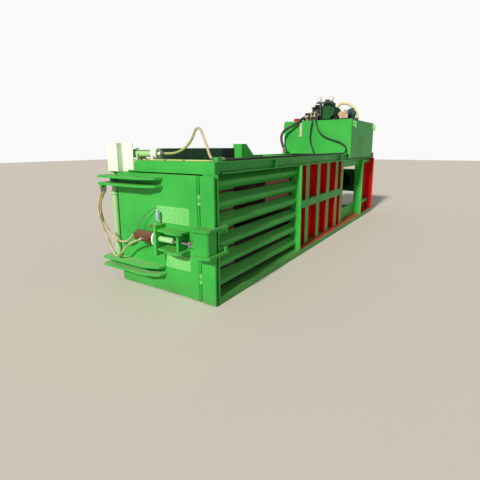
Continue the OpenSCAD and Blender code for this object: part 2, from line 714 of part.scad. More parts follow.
// Studded doubler plates and the stile strip on the door's face
module door_plates() color(green) {
    t = 8;
    for (p = [[-64, lock_z + 150, 377, lock_z + 325], [36, lock_z - 320, 377, lock_z - 170]])
        block([p[0], leaf_y0 - t, p[1]], [p[2], leaf_y0, p[3]]);
    block([377, leaf_y0 - 12, leaf_z0], [claw_x - 32, leaf_y0, leaf_z1]);
    for (x = [-20:66:340]) for (dz = [180, 240, 295])
        translate([x, 0, lock_z + dz]) bar_y(leaf_y0 - t - 4, leaf_y0 - t, 9);
    for (x = [70:66:340]) for (dz = [-290, -245, -200])
        translate([x, 0, lock_z + dz]) bar_y(leaf_y0 - t - 4, leaf_y0 - t, 9);
}

// Two chamfered shelves and an end plate that carry the lock cylinder
module lock_bracket() color(green) {
    for (dz = [-117, 80]) translate([0, 0, lock_z + dz]) linear_extrude(25)
        polygon([[50, leaf_y0], [50, front - 165], [120, front - 165], [200, front - 205], [340, front - 205],
                 [377 - 1, front - 170], [377 - 1, leaf_y0]]);
    difference() {
        block([20, front - 190, lock_z - 168], [50, leaf_y0, lock_z + 148]);
        translate([0, lock_y, lock_z]) bar_x(19, 51, 22);
    }
    difference() {
        block([300, front - 165, lock_z - 92], [330, leaf_y0, lock_z + 80]);
        translate([0, lock_y, lock_z]) bar_x(299, 331, 20 + RUN_GAP);
    }
}

// Lock cylinder with its round end flange and two ports
lock_x0 = -283;
module lock_cylinder() color(primer) translate([0, lock_y, lock_z]) difference() {
    union() {
        bar_x(lock_x0, 0, lock_d / 2);
        bar_x(0, 20, lock_d / 2 + 24);
        bar_x(lock_x0 - 25, lock_x0, 14);
        translate([-45, 0, 0]) bar_y(-lock_d / 2 - 34, -lock_d / 2 + 5, 14);
        translate([0, -lock_d / 2 - 20, 0]) bar_x(-85, -45, 12);
    }
    bar_x(-31, 21, 20 + RUN_GAP);
    bar_x(lock_x0 + 25, -30, 42);
}

// Rod with piston; its fork holds the pin in the claw's slotted lever
fork_x = claw_x;
lever_t = 24;
module lock_rod() color(steel) translate([0, lock_y, lock_z]) {
    bar_x(-120, -80, 42 - RUN_GAP);
    bar_x(-80, fork_x - 70, 20);
    for (s = [1, -1]) translate([0, 0, s * (lever_t / 2 + 8.5)])
        block([fork_x - 76, -18, -8], [fork_x + 18, 18, 8]);
    block([fork_x - 76, -18, -lever_t / 2 - 2], [fork_x - 50, 18, lever_t / 2 + 2]);
    translate([fork_x, 0, -lever_t / 2 - 3]) cylinder(r = 10, h = lever_t + 6);
}

// Upright claw leaf with two jaw plates that wrap round the corner to a tooth
jaw_in = x_out + 2.5;
jaw_out = jaw_in + 40;
jaw_nose = front - 208;
tooth_x = x_out - 3;
tooth_y = catch_y1 + 4;
jaw_end = tooth_y + 42;
module jaw_outline() polygon([[claw_x + 12, front - 50], [claw_x + 27, jaw_nose], [jaw_out - 20, jaw_nose],
    [jaw_out, jaw_nose + 20], [jaw_out, jaw_end - 14], [jaw_out - 14, jaw_end], [tooth_x, jaw_end],
    [tooth_x, tooth_y], [jaw_in + 9, tooth_y], [jaw_in + 9, front + 35], [jaw_in, front - 45],
    [jaw_in, front - 50]]);
module claw() color(green) difference() {
    union() {
        block([claw_x + 12, front - 55, leaf_z0], [x_out, front - 30, leaf_z1]);
        for (z = jaw_z) translate([0, 0, z - jaw_t / 2]) linear_extrude(jaw_t) jaw_outline();
        jaw_walls();
        translate([0, 0, lock_z - lever_t / 2]) linear_extrude(lever_t)
            polygon([[claw_x - 16, front - 70], [claw_x - 24, front - 160], [claw_x + 24, front - 160],
                     [claw_x + 70, front - 55], [claw_x + 12, front - 55]]);
        for (z = knuckle_z) translate([claw_x, claw_y, z - knuckle_h / 6 + 0.5])
            cylinder(r = knuckle_r, h = knuckle_h / 3 - 1);
    }
    for (z = knuckle_z) {
        translate([claw_x, claw_y, z - knuckle_h]) cylinder(r = 10 + RUN_GAP, h = 2 * knuckle_h);
        for (k = [0, 2]) translate([claw_x, claw_y, z - knuckle_h / 2 + k * knuckle_h / 3 - 0.25])
            cylinder(r = knuckle_r + 4, h = knuckle_h / 3 + 0.5);
    }
    translate([claw_x - 12, front - 146, lock_z - lever_t]) cube([24, 34, 2 * lever_t]);
}

// Plate set back between the two jaws, round the corner only, and the teeth next to the jaws
module jaw_walls() {
    low = jaw_z[0] + jaw_t / 2;
    high = jaw_z[1] - jaw_t / 2;
    translate([0, 0, low]) linear_extrude(high - low)
        polygon([[claw_x + 27, jaw_nose + 24], [jaw_out - 40, jaw_nose + 24], [jaw_out - 26, jaw_nose + 38],
                 [jaw_out - 26, front - 50], [jaw_out - 38, front - 50], [jaw_out - 38, jaw_nose + 43],
                 [jaw_out - 45, jaw_nose + 36], [claw_x + 28, jaw_nose + 36]]);
    for (z = [low, high - tooth_h]) translate([0, 0, z]) linear_extrude(tooth_h)
        polygon([[tooth_x, tooth_y], [jaw_out - 14, tooth_y], [jaw_out - 14, jaw_end - 4],
                 [tooth_x, jaw_end - 4]]);
}

module claw_pins() color(steel) for (z = knuckle_z) translate([claw_x, claw_y, z - knuckle_h / 2 - 6])
    cylinder(r = 10, h = knuckle_h + 12);

// Routes of the free hoses, each a list of points along its middle line,
// counted along the bed and up from the two values given
function at(y0, z0, p) = [for (q = p) [q[0], y0 + q[1], z0 + q[2]]];
tank_hose_route = at(tank_y0, deck_h, [[-215, 165, 705], [-215, 110, 705], [-172, 50, 706], [-115, 5, 694],
    [-82, -24, 656], [-78, -32, 590], [-92, -32, 515], [-105, -32, 430], [-112, -32, 338],
    [-105, -32, 250], [-84, -32, 170], [-52, -36, 100], [-26, -50, 30], [-15, -62, -30], [-15, -62, -70]]);
module tank_hose() color(black) hose(tank_hose_route, 14, [1, 0, 0]);

deck_hose_route = concat(at(tank_y0, deck_h, [
    [-140, 165, 705], [-140, 110, 705], [-100, 50, 706], [-40, 5, 696],
    [-8, -24, 658], [4, -32, 595], [23, -32, 530], [52, -32, 460], [96, -32, 399], [145, -32, 355],
    [204, -32, 320], [275, -32, 290], [349, -32, 265], [430, -34, 240], [500, -36, 212],
    [562, -40, 178], [606, -50, 140], [628, -72, 96], [632, -110, 50], [626, -165, 20],
    [618, -240, 14], [612, -600, 14]]),
    at(front, deck_h, [[620, 3100, 14], [606, 2500, 14], [618, 1900, 14], [608, 1300, 14],
    [618, 800, 14], [630, 400, 14], [632, 230, 16], [632, 180, 20], [632, 130, 20]]));
module deck_hose() color(black) hose(deck_hose_route, 14, [1, 0, 0]);

valve_hoses_route = at(tank_y0, deck_h, [[-290, 165, 705], [-290, 110, 705], [-290, 45, 702], [-300, -8, 690],
    [-338, -48, 648], [-392, -74, 604], [-482, -96, 551], [-573, -122, 501], [-630, -145, 455],
    [-664, -160, 400], [-678, -170, 335], [-670, -176, 255], [-640, -181, 170], [-611, -182, 104],
    [-600, -182, 60], [-600, -182, 24]]);
module valve_hoses() color(black) hose(valve_hoses_route, 26, [1, 0, 0]);

door_hose_route = at(front, deck_h, [[-100, 85, 72], [-50, 85, 72], [32, 86, 73], [100, 88, 80],
    [170, 90, 100], [225, 93, 128], [266, 96, 160], [300, 100, 198], [325, 104, 240], [344, 107, 280],
    [364, 110, 308], [388, 112, 316], [412, 114, 300], [432, 116, 260], [452, 118, 210],
    [478, 118, 155], [505, 112, 100], [530, 104, 55], [560, 98, 24], [585, 95, 20], [610, 95, 20]]);
module door_hose() color("#cdb98a") hose(door_hose_route, 13, [0, 0, 1]);

lock_feed_route = at(front, lock_z, [[-800, -120, 479], [-800, -120, 440], [-822, -122, 405],
    [-855, -124, 360], [-885, -126, 300], [-895, -128, 230], [-880, -130, 155], [-845, -132, 85],
    [-795, -134, 20], [-735, -136, -35], [-665, -138, -75], [-590, -140, -102], [-520, -140, -108],
    [-455, -138, -92], [-405, -134, -60], [-372, -128, -22], [-345, -125, 0], [-308, -125, 0]]);
module lock_hose_feed() color("#cdb98a") hose(lock_feed_route, 11, [0, 1, 0]);

lock_return_route = at(front, lock_z, [[-800, -160, 479], [-800, -160, 440], [-815, -162, 410],
    [-842, -165, 362], [-865, -168, 295], [-872, -170, 225], [-860, -172, 150], [-830, -173, 70],
    [-785, -174, -10], [-735, -175, -90], [-690, -176, -170], [-655, -177, -235], [-615, -178, -270],
    [-565, -178, -268], [-515, -178, -228], [-455, -178, -170], [-380, -182, -115], [-300, -190, -72],
    [-220, -198, -40], [-160, -203, -14], [-125, -204, 0], [-85, -204, 0]]);
module lock_hose_return() color("#cdb98a") hose(lock_return_route, 11, [0, 1, 0]);

chamber_wall(1);  // chamber_wall_right
chamber_wall(-1);  // chamber_wall_left
chamber_ribs(1);  // chamber_ribs_right
chamber_ribs(-1);  // chamber_ribs_left
press_wall(1);  // press_wall_right
press_wall(-1);  // press_wall_left
press_stiffeners(1);  // press_stiffeners_right
press_stiffeners(-1);  // press_stiffeners_left
bay_frame(1);  // bay_frame_right
bay_frame(-1);  // bay_frame_left
rear_wall(1);  // rear_wall_right
rear_wall(-1);  // rear_wall_left
top_chord(1);  // top_chord_right
top_chord(-1);  // top_chord_left
base_frame();
floor_plate();
front_portal();
middle_posts();
rear_portal();
cylinder_crosshead();
roof_plates();
shear_beam();
fixed_knife();
feed_rim();
lock_catch();
hinge_lugs();
main_cylinder();
cylinder_gland();
ram_body();
ram_apron();
ram_rod();
ram_knife();
tank();
tank_lid();
filler_cap();
level_gauge();
main_motor();
circulation_motor();
valve_manifold();
solenoid_valves();
pressure_gauges();
suction_pipe();
door_cylinder();
door_rod();
door_leaf();
door_straps();
hinge_shaft();
door_crank();
door_plates();
lock_bracket();
lock_cylinder();
lock_rod();
claw();
claw_pins();
tank_hose();
deck_hose();
valve_hoses();
door_hose();
lock_hose_feed();
lock_hose_return();
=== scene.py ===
"""A horizontal baler with a hinged front door, a ribbed chamber and the power unit on its oil tank."""
import json
import math

import bmesh
import bpy
from mathutils import Matrix, Vector


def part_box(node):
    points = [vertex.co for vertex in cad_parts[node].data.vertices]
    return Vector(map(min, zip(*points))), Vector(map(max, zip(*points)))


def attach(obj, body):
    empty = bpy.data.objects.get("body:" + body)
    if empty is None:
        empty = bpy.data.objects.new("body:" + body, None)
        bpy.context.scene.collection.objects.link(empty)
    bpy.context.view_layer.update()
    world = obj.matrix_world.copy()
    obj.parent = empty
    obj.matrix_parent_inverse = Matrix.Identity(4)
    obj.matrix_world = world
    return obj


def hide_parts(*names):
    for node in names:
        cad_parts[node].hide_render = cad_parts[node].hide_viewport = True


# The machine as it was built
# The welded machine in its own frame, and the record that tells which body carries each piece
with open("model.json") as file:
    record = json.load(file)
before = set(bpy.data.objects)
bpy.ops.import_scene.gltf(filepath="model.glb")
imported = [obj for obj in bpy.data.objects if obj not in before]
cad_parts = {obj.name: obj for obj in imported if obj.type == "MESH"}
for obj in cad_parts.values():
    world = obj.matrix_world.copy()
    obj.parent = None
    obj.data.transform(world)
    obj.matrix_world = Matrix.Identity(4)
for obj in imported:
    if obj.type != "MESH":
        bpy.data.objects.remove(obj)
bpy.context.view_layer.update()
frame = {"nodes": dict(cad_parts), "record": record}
scene = bpy.context.scene

# The camera
# It stands at eye height beyond the corner where the claw hooks on, and looks along the ribbed side
camera_place = (2.626, -5.679, 1.529)
camera_pitch = 79.17
camera_roll = 0.29
camera_yaw = 33.08
lens = bpy.data.cameras.new("camera")
lens.lens = 26.29
lens.sensor_width = 36
lens.shift_x = -0.001
lens.shift_y = -0.053
camera = bpy.data.objects.new("camera", lens)
camera.location = camera_place
camera.rotation_euler = [math.radians(a) for a in (camera_pitch, camera_roll, camera_yaw)]
scene.collection.objects.link(camera)
scene.camera = camera


# The hoses of the power unit
# Rubber hose with a wound cover, swaged into steel ends. It leaves the valve block and hangs over the
# tank's front: one goes through the roof, one along the deck's edge, a thick one to the left chord.
def linear(code):
    """sRGB hex colour as the linear values that a shader takes."""
    parts = [int(code[i:i + 2], 16) / 255 for i in (1, 3, 5)]
    return [p / 12.92 if p <= 0.04045 else ((p + 0.055) / 1.055) ** 2.4 for p in parts] + [1.0]


def add(owner, kind, inputs=None, **settings):
    """Adds a shader node with its settings. Inputs are given by name or number, as a value or a socket."""
    made = owner.node_tree.nodes.new("ShaderNode" + kind)
    for key, value in settings.items():
        setattr(made, key, value)
    for key, value in (inputs or {}).items():
        if isinstance(value, bpy.types.NodeSocket):
            owner.node_tree.links.new(value, made.inputs[key])
        else:
            made.inputs[key].default_value = value
    return made


def finish_named(name, **values):
    """A new material, its shader with the given plain values, and its Object coordinates."""
    mat = bpy.data.materials.new(name)
    mat.use_nodes = True
    shader = mat.node_tree.nodes["Principled BSDF"]
    for key, value in values.items():
        shader.inputs[key.replace("_", " ")].default_value = value
    return mat, shader, add(mat, "TexCoord").outputs["Object"]


def rubber_cover(name, dark, pale, roughness, sprayed_to=None):
    """Wrapped rubber: dull, with the faint print of the cloth it was cured in and dust in patches. Green
    overspray lies on the stretch with x below sprayed_to."""
    mat, shader, place = finish_named(name, Roughness=roughness)
    dust_patch = 0.12
    # The real print is about 1.5 mm wide, too fine to show, so it is drawn four times as coarse
    cloth_pitch = 0.006
    spray_fade = 0.05
    patch = add(mat, "TexNoise", {"Vector": place, "Scale": 1 / dust_patch, "Detail": 3.0})
    amount = add(mat, "MapRange", {"Value": patch.outputs["Fac"], "From Min": 0.42, "From Max": 0.68})
    tint = add(mat, "Mix", {0: amount.outputs[0], 6: linear(dark), 7: linear(pale)}, data_type="RGBA")
    if sprayed_to is not None:
        across = add(mat, "SeparateXYZ", {0: place}).outputs["X"]
        spray = add(mat, "MapRange", {"Value": across, "From Min": sprayed_to + spray_fade,
                                      "From Max": sprayed_to - spray_fade, "To Max": 0.75})
        tint = add(mat, "Mix", {0: spray.outputs[0], 6: tint.outputs[2], 7: linear("#7fa552")},
                   data_type="RGBA")
    mat.node_tree.links.new(tint.outputs[2], shader.inputs["Base Color"])
    cloth = add(mat, "TexNoise", {"Vector": place, "Scale": 1 / cloth_pitch, "Detail": 2.0})
    relief = add(mat, "Bump", {"Height": cloth.outputs["Fac"], "Strength": 0.5, "Distance": 0.001})
    mat.node_tree.links.new(relief.outputs[0], shader.inputs["Normal"])
    return mat


def plated_steel(name, colour, roughness, metallic=1.0):
    """Zinc-plated or turned steel: a bright metal with fine turning marks and a dull film in places."""
    mat, shader, place = finish_named(name, Metallic=metallic, Roughness=roughness)
    film_patch = 0.05
    # Real turning marks are about 0.2 mm apart, too fine to show, so they are drawn ten times as coarse
    mark_pitch = 0.002
    film = add(mat, "TexNoise", {"Vector": place, "Scale": 1 / film_patch, "Detail": 4.0})
    worn = add(mat, "Mix", {0: film.outputs["Fac"], 6: linear(colour), 7: linear("#6f6b64")},
               data_type="RGBA")
    mat.node_tree.links.new(worn.outputs[2], shader.inputs["Base Color"])
    marks = add(mat, "TexNoise", {"Vector": place, "Scale": 1 / mark_pitch, "Detail": 1.0})
    relief = add(mat, "Bump", {"Height": marks.outputs["Fac"], "Strength": 0.25, "Distance": 0.0005})
    mat.node_tree.links.new(relief.outputs[0], shader.inputs["Normal"])
    return mat


def solid(bm, name, material, body, smooth=False):
    """Turns finished bmesh work into a piece that rides on a body."""
    bmesh.ops.remove_doubles(bm, verts=bm.verts, dist=1e-6)
    bmesh.ops.recalc_face_normals(bm, faces=bm.faces)
    mesh = bpy.data.meshes.new(name)
    for face in bm.faces:
        face.smooth = smooth
    bm.to_mesh(mesh)
    bm.free()
    mesh.materials.append(material)
    obj = bpy.data.objects.new(name, mesh)
    scene.collection.objects.link(obj)
    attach(obj, body)
    return obj


def pointing(place, direction):
    """Matrix that puts a shape at a place with its own Z along a direction."""
    turn = Vector(direction).to_track_quat("Z", "Y")
    return Matrix.Translation(place) @ turn.to_matrix().to_4x4()


def drum(bm, place, direction, radius, length, sides=24, taper=1.0):
    """A turned or hexagonal stub that stands on a place and points along a direction."""
    lift = Matrix.Translation((0, 0, length / 2))
    bmesh.ops.create_cone(bm, cap_ends=True, segments=sides, radius1=radius, radius2=radius * taper,
                          depth=length, matrix=pointing(place, direction) @ lift)


def swaged_end(name, end, inward, diameter, body):
    """Hexagon nut and crimped sleeve at a hose's end, all in shares of the hose's diameter."""
    bm = bmesh.new()
    run = (inward - end).normalized()
    drum(bm, end, run, diameter * 0.78, diameter * 0.7, sides=6)
    drum(bm, end + run * diameter * 0.7, run, diameter * 0.66, diameter * 1.5, taper=0.92)
    for i in range(3):
        crimp = end + run * diameter * (0.95 + 0.4 * i)
        drum(bm, crimp, run, diameter * 0.70, diameter * 0.14)
    return solid(bm, name, zinc_plate, body)


def at(start, points):
    """Route points given in millimetres, counted along the bed from start, as metres in the frame."""
    return [(x / 1000, start + y / 1000, z / 1000) for x, y, z in points]


def smooth_route(route, steps=4):
    """The route with points added between its own, on a curve that passes through all of them."""
    p = [Vector(q) for q in route]
    p = [2 * p[0] - p[1]] + p + [2 * p[-1] - p[-2]]
    fine = []
    for a, b, c, d in zip(p, p[1:], p[2:], p[3:]):
        for i in range(steps):
            t = i / steps
            fine.append(0.5 * (2 * b + (c - a) * t + (2 * a - 5 * b + 4 * c - d) * t ** 2
                               + (3 * b - a - 3 * c + d) * t ** 3))
    return fine + [p[-2]]


def round_tube(name, route, radius, facets, material):
    """A round curve object along a route, and the fine points that it follows."""
    curve = bpy.data.curves.new(name, "CURVE")
    curve.dimensions = "3D"
    curve.bevel_depth = radius
    curve.bevel_resolution = facets
    curve.use_fill_caps = True
    curve.materials.append(material)
    line = curve.splines.new("POLY")
    fine = smooth_route(route)
    line.points.add(len(fine) - 1)
    for point, place in zip(line.points, fine):
        point.co = (*place, 1)
    line.use_smooth = True
    obj = bpy.data.objects.new(name, curve)
    scene.collection.objects.link(obj)
    return obj, fine


def hose(name, route, diameter, material, body, **facts):
    """A hose as a smooth curve through its route, with a swaged fitting at each end."""
    obj, fine = round_tube(name + "_rubber", route, diameter / 2, 4, material)
    ends = [swaged_end(f"{name}_{end}_fitting", p, q, diameter, body)
            for end, p, q in (("first", fine[0], fine[3]), ("second", fine[-1], fine[-4]))]
    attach(obj, body)
    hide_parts(name)


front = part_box("floor_plate")[0][1]
tank_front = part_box("tank")[0][1]
black_rubber = rubber_cover("black_hose_rubber", "#161616", "#3a3733", 0.55)
zinc_plate = plated_steel("zinc_plated_fitting", "#c9c6b8", 0.35)
oil_hose_diameter = 0.028
thick_hose_diameter = 0.052
hose("tank_hose", at(tank_front, [
    (-215, 165, 2105), (-215, 110, 2105), (-172, 50, 2106), (-115, 5, 2094), (-82, -24, 2056),
    (-78, -32, 1990), (-92, -32, 1915), (-105, -32, 1830), (-112, -32, 1738), (-105, -32, 1650),
    (-84, -32, 1570), (-52, -36, 1500), (-26, -50, 1430), (-15, -62, 1370), (-15, -62, 1330)]),
    oil_hose_diameter, black_rubber, "frame", stiffness="stiff", lay="hanging")
hose("deck_hose", at(tank_front, [
    (-140, 165, 2105), (-140, 110, 2105), (-100, 50, 2106), (-40, 5, 2096), (-8, -24, 2058),
    (4, -32, 1995), (23, -32, 1930), (52, -32, 1860), (96, -32, 1799), (145, -32, 1755),
    (204, -32, 1720), (275, -32, 1690), (349, -32, 1665), (430, -34, 1640), (500, -36, 1612),
    (562, -40, 1578), (606, -50, 1540), (628, -72, 1496), (632, -110, 1450), (626, -165, 1420),
    (618, -240, 1414), (612, -600, 1414)]) + at(front, [
        (620, 3100, 1414), (606, 2500, 1414), (618, 1900, 1414), (608, 1300, 1414), (618, 800, 1414),
        (630, 400, 1414), (632, 230, 1416), (632, 180, 1420), (632, 130, 1420)]),
    oil_hose_diameter, black_rubber, "frame", stiffness="stiff", lay="loose")
hose("valve_hoses", at(tank_front, [
    (-290, 165, 2105), (-290, 110, 2105), (-290, 45, 2102), (-300, -8, 2090), (-338, -48, 2048),
    (-392, -74, 2004), (-482, -96, 1951), (-573, -122, 1901), (-630, -145, 1855), (-664, -160, 1800),
    (-678, -170, 1735), (-670, -176, 1655), (-640, -181, 1570), (-611, -182, 1504), (-600, -182, 1460),
    (-600, -182, 1424)]),
    thick_hose_diameter, black_rubber, "frame", stiffness="stiff", lay="hanging")

# The hoses of the door and lock
# Thin pressure hose with a sand-coloured cover: one in an arch over the deck's front corner, oversprayed
# green on the door cylinder's side, and two that hang from the door's strap to the lock cylinder.
arch_top = 0.37
sand_rubber = rubber_cover("sand_hose_rubber", "#cdb98a", "#a08d68", 0.6)
sprayed_rubber = rubber_cover("oversprayed_hose_rubber", "#d8c69c", "#b3a07c", 0.6, arch_top)
arch_hose_diameter = 0.026
lock_hose_diameter = 0.022
hose("door_hose", at(front, [
    (-100, 85, 1472), (-50, 85, 1472), (32, 86, 1473), (100, 88, 1480), (170, 90, 1500), (225, 93, 1528),
    (266, 96, 1560), (300, 100, 1598), (325, 104, 1640), (344, 107, 1680), (364, 110, 1708),
    (388, 112, 1716), (412, 114, 1700), (432, 116, 1660), (452, 118, 1610), (478, 118, 1555),
    (505, 112, 1500), (530, 104, 1455), (560, 98, 1424), (585, 95, 1420), (610, 95, 1420)]),
    arch_hose_diameter, sprayed_rubber, "frame", stiffness="stiff", lay="taut")
hose("lock_hose_feed", at(front, [
    (-800, -120, 1099), (-800, -120, 1060), (-822, -122, 1025), (-855, -124, 980), (-885, -126, 920),
    (-895, -128, 850), (-880, -130, 775), (-845, -132, 705), (-795, -134, 640), (-735, -136, 585),
    (-665, -138, 545), (-590, -140, 518), (-520, -140, 512), (-455, -138, 528), (-405, -134, 560),
    (-372, -128, 598), (-345, -125, 620), (-308, -125, 620)]),
    lock_hose_diameter, sand_rubber, "door", stiffness="stiff", lay="hanging")
hose("lock_hose_return", at(front, [
    (-800, -160, 1099), (-800, -160, 1060), (-815, -162, 1030), (-842, -165, 982), (-865, -168, 915),
    (-872, -170, 845), (-860, -172, 770), (-830, -173, 690), (-785, -174, 610), (-735, -175, 530),
    (-690, -176, 450), (-655, -177, 385), (-615, -178, 350), (-565, -178, 352), (-515, -178, 392),
    (-455, -178, 450), (-380, -182, 505), (-300, -190, 548), (-220, -198, 580), (-160, -203, 606),
    (-125, -204, 620), (-85, -204, 620)]),
    lock_hose_diameter, sand_rubber, "door", stiffness="stiff", lay="hanging")


# The green steelwork
# Mild steel plate, cut, folded and welded, then sprayed with gloss enamel. Dust lies on the flats, drawn
# pale enough to stand also for painted sunlight on their tops; mud near the floor, and the paint is rubbed
# through to primer in short scratches.
def enamel(name, colour, deep, roughness=0.32, scratches=0.55):
    """Sprayed gloss enamel with soft waves, pale dust on upward faces that also stands for painted
    sunlight on them, mud near the floor and short scratches.
    """
    mat, shader, place = finish_named(name, Specular_IOR_Level=0.2)
    spray_width = 0.5
    wave_pitch = 0.035
    dust_patch = 0.18
    splash_height = 0.22
    # A real scratch is about 1 mm wide, too fine to show, so these are drawn several times as wide
    scratch_size = (0.25, 0.02, 0.012)
    pass_marks = add(mat, "TexNoise", {"Vector": place, "Scale": 1 / spray_width, "Detail": 5.0})
    coat = add(mat, "MapRange", {"Value": pass_marks.outputs["Fac"], "From Min": 0.3, "From Max": 0.7})
    tone = add(mat, "Mix", {0: coat.outputs[0], 6: linear(deep), 7: linear(colour)}, data_type="RGBA")
    drift = add(mat, "TexNoise", {"Vector": place, "Scale": 1 / dust_patch, "Detail": 6.0,
                                  "Roughness": 0.7}).outputs["Fac"]
    facing = add(mat, "SeparateXYZ", {0: add(mat, "NewGeometry").outputs["Normal"]}).outputs["Z"]
    # Upward faces are tinted pale and yellowish: dust, and painted sunlight on the tops
    flat = add(mat, "MapRange", {"Value": facing, "From Min": 0.5, "From Max": 1.0, "To Max": 0.34})
    dust_and_painted_top_light = add(mat, "Math", {0: flat.outputs[0], 1: drift}, operation="MULTIPLY")
    dusted_and_top_lit = add(mat, "Mix", {0: dust_and_painted_top_light.outputs[0], 6: tone.outputs[2], 7: linear("#b5ab85")},
                 data_type="RGBA")
    height = add(mat, "SeparateXYZ", {0: place}).outputs["Z"]
    splash = add(mat, "MapRange", {"Value": height, "From Min": splash_height, "From Max": 0.0,
                                   "To Max": 0.55})
    mud = add(mat, "Math", {0: splash.outputs[0], 1: drift}, operation="MULTIPLY")
    soiled = add(mat, "Mix", {0: mud.outputs[0], 6: dusted_and_top_lit.outputs[2], 7: linear("#5b4a38")},
                 data_type="RGBA")
    stretch = add(mat, "Mapping", {"Vector": place, "Scale": [1 / size for size in scratch_size]})
    fibres = add(mat, "TexNoise", {"Vector": stretch.outputs[0], "Scale": 1.0, "Detail": 2.0})
    lines = add(mat, "MapRange", {"Value": fibres.outputs["Fac"], "From Min": 0.74, "From Max": 0.78,
                                  "To Max": scratches})
    bare = add(mat, "Mix", {0: lines.outputs[0], 6: soiled.outputs[2], 7: linear("#6b5a48")},
               data_type="RGBA")
    mat.node_tree.links.new(bare.outputs[2], shader.inputs["Base Color"])
    dull = add(mat, "MapRange", {"Value": drift, "From Min": 0.3, "From Max": 0.8,
                                 "To Min": roughness, "To Max": roughness + 0.22})
    mat.node_tree.links.new(dull.outputs[0], shader.inputs["Roughness"])
    wave = add(mat, "TexNoise", {"Vector": place, "Scale": 1 / wave_pitch, "Detail": 3.0})
    relief = add(mat, "Bump", {"Height": wave.outputs["Fac"], "Strength": 0.35, "Distance": 0.0015})
    mat.node_tree.links.new(relief.outputs[0], shader.inputs["Normal"])
    return mat


nodes = frame["nodes"]


def coat_nodes(material, *names):
    """Gives CAD pieces whose shape is right their finish."""
    for name in names:
        nodes[name].data.materials.clear()
        nodes[name].data.materials.append(material)


# Faces that meet at less than round_step belong to one round stretch, and edges over sharp_edge are eased
body_nodes = frame["record"]["behaviour"]["bodies"]
round_step = math.radians(16)
sharp_edge = math.radians(35)


def eased(name, material, width, segments=2, second=None, holds=None, cuts=()):
    """A plate piece with its cut or folded edges eased, standing for the CAD node of that name. The faces
    for which holds(normal, middle) is true take the second material; cuts are places along the bed."""
    bm = bmesh.new()
    bm.from_mesh(nodes[name].data)
    bmesh.ops.remove_doubles(bm, verts=bm.verts, dist=1e-5)
    bmesh.ops.dissolve_limit(bm, angle_limit=math.radians(1), verts=bm.verts, edges=bm.edges)
    for y in cuts:
        bmesh.ops.bisect_plane(bm, geom=bm.verts[:] + bm.edges[:] + bm.faces[:], dist=1e-6,
                               plane_co=(0, y, 0), plane_no=(0, 1, 0))
    for face in bm.faces:
        face.smooth = any(0.01 < edge.calc_face_angle(0) < round_step for edge in face.edges)
        if holds:
            face.material_index = int(holds(face.normal, face.calc_center_median()))
    mesh = bpy.data.meshes.new(name + "_plate")
    mesh.materials.append(material)
    if second:
        mesh.materials.append(second)
    bm.to_mesh(mesh)
    bm.free()
    obj = bpy.data.objects.new(name + "_plate", mesh)
    scene.collection.objects.link(obj)
    ease = obj.modifiers.new("eased_edges", "BEVEL")
    ease.width = width
    ease.segments = segments
    ease.limit_method = "ANGLE"
    ease.angle_limit = sharp_edge
    ease.use_clamp_overlap = True
    carrier = next(body for body, held in body_nodes.items() if name in held)
    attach(obj, carrier)
    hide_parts(name)


green = enamel("green_machine_enamel", "#43b54b", "#32a041")
red = enamel("red_machine_enamel", "#d81f20", "#b81718")
# A dark copy of the green, laid on the roof's top as painted shade
shaded_green = enamel("painted_shade_deck_enamel", "#17351f", "#10261a", 0.45)
# A paler copy of the green: painted sunlight on the tops of the lower straps, the door's knuckles, its
# doubler plates and the tank's lifting hooks
painted_sunlight_green = enamel("painted_sunlight_green_enamel", "#7ccf78", "#5fb85f", 0.4, 0.3)
coat_nodes(green, "middle_posts", "top_chord_right", "top_chord_left", "cylinder_crosshead",
           "shear_beam", "feed_rim", "lock_catch", "hinge_lugs", "tank_lid")

plate_edge = 0.003
fold_edge = 0.006
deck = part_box("top_chord_right")[1][2]
door_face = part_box("door_plates")[1][1]
stile_edge = 0.376
tank_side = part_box("tank_lid")[1][0]
press_start, press_end = (corner[1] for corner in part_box("press_wall_right"))
wall_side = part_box("press_wall_right")[1][0]
for piece in ("front_portal", "lock_bracket", "claw"):
    eased(piece, green, plate_edge)
# The faces given the paler copy of the green here and below are painted sunlight
eased("door_straps", green, plate_edge, 2, painted_sunlight_green, lambda n, c: n.z > 0.5 and c.z < 0.5)
eased("door_leaf", green, plate_edge, 2, painted_sunlight_green, lambda n, c: c.y < door_face - 0.001)
eased("door_plates", green, plate_edge, 2, painted_sunlight_green, lambda n, c: c.x < stile_edge)
for piece in ("chamber_ribs_right", "chamber_ribs_left"):
    eased(piece, green, fold_edge, 3)
eased("tank", green, plate_edge, 2, painted_sunlight_green, lambda n, c: abs(c.x) > tank_side + 0.002)
for side in ("right", "left"):
    eased("press_stiffeners_" + side, green, fold_edge, 3, red, lambda n, c: abs(n.y) > 0.5)
    eased("bay_frame_" + side, green, plate_edge, 2, red,
          lambda n, c: n.y < -0.5 and c.y < press_end - 0.1)
eased("base_frame", green, plate_edge, 2, red, cuts=(press_start,),
      holds=lambda n, c: n.z > 0.5 and abs(c.x) > wall_side and c.y > press_start)
eased("rear_portal", green, plate_edge, 2, red, lambda n, c: n.y < -0.5)
# The roof's top takes the dark copy of the green as painted shade
eased("roof_plates", green, plate_edge, 2, shaded_green, lambda n, c: c.z > deck - 0.01)


# The corner plate
# It closes the gap between the front frame and the channel of the right top chord
def plate(bm, low, high):
    """A plate between two corners."""
    size = [b - a for a, b in zip(low, high)]
    middle = [(a + b) / 2 for a, b in zip(low, high)]
    bmesh.ops.create_cube(bm, size=1, matrix=Matrix.Translation(middle) @ Matrix.Diagonal((*size, 1)))


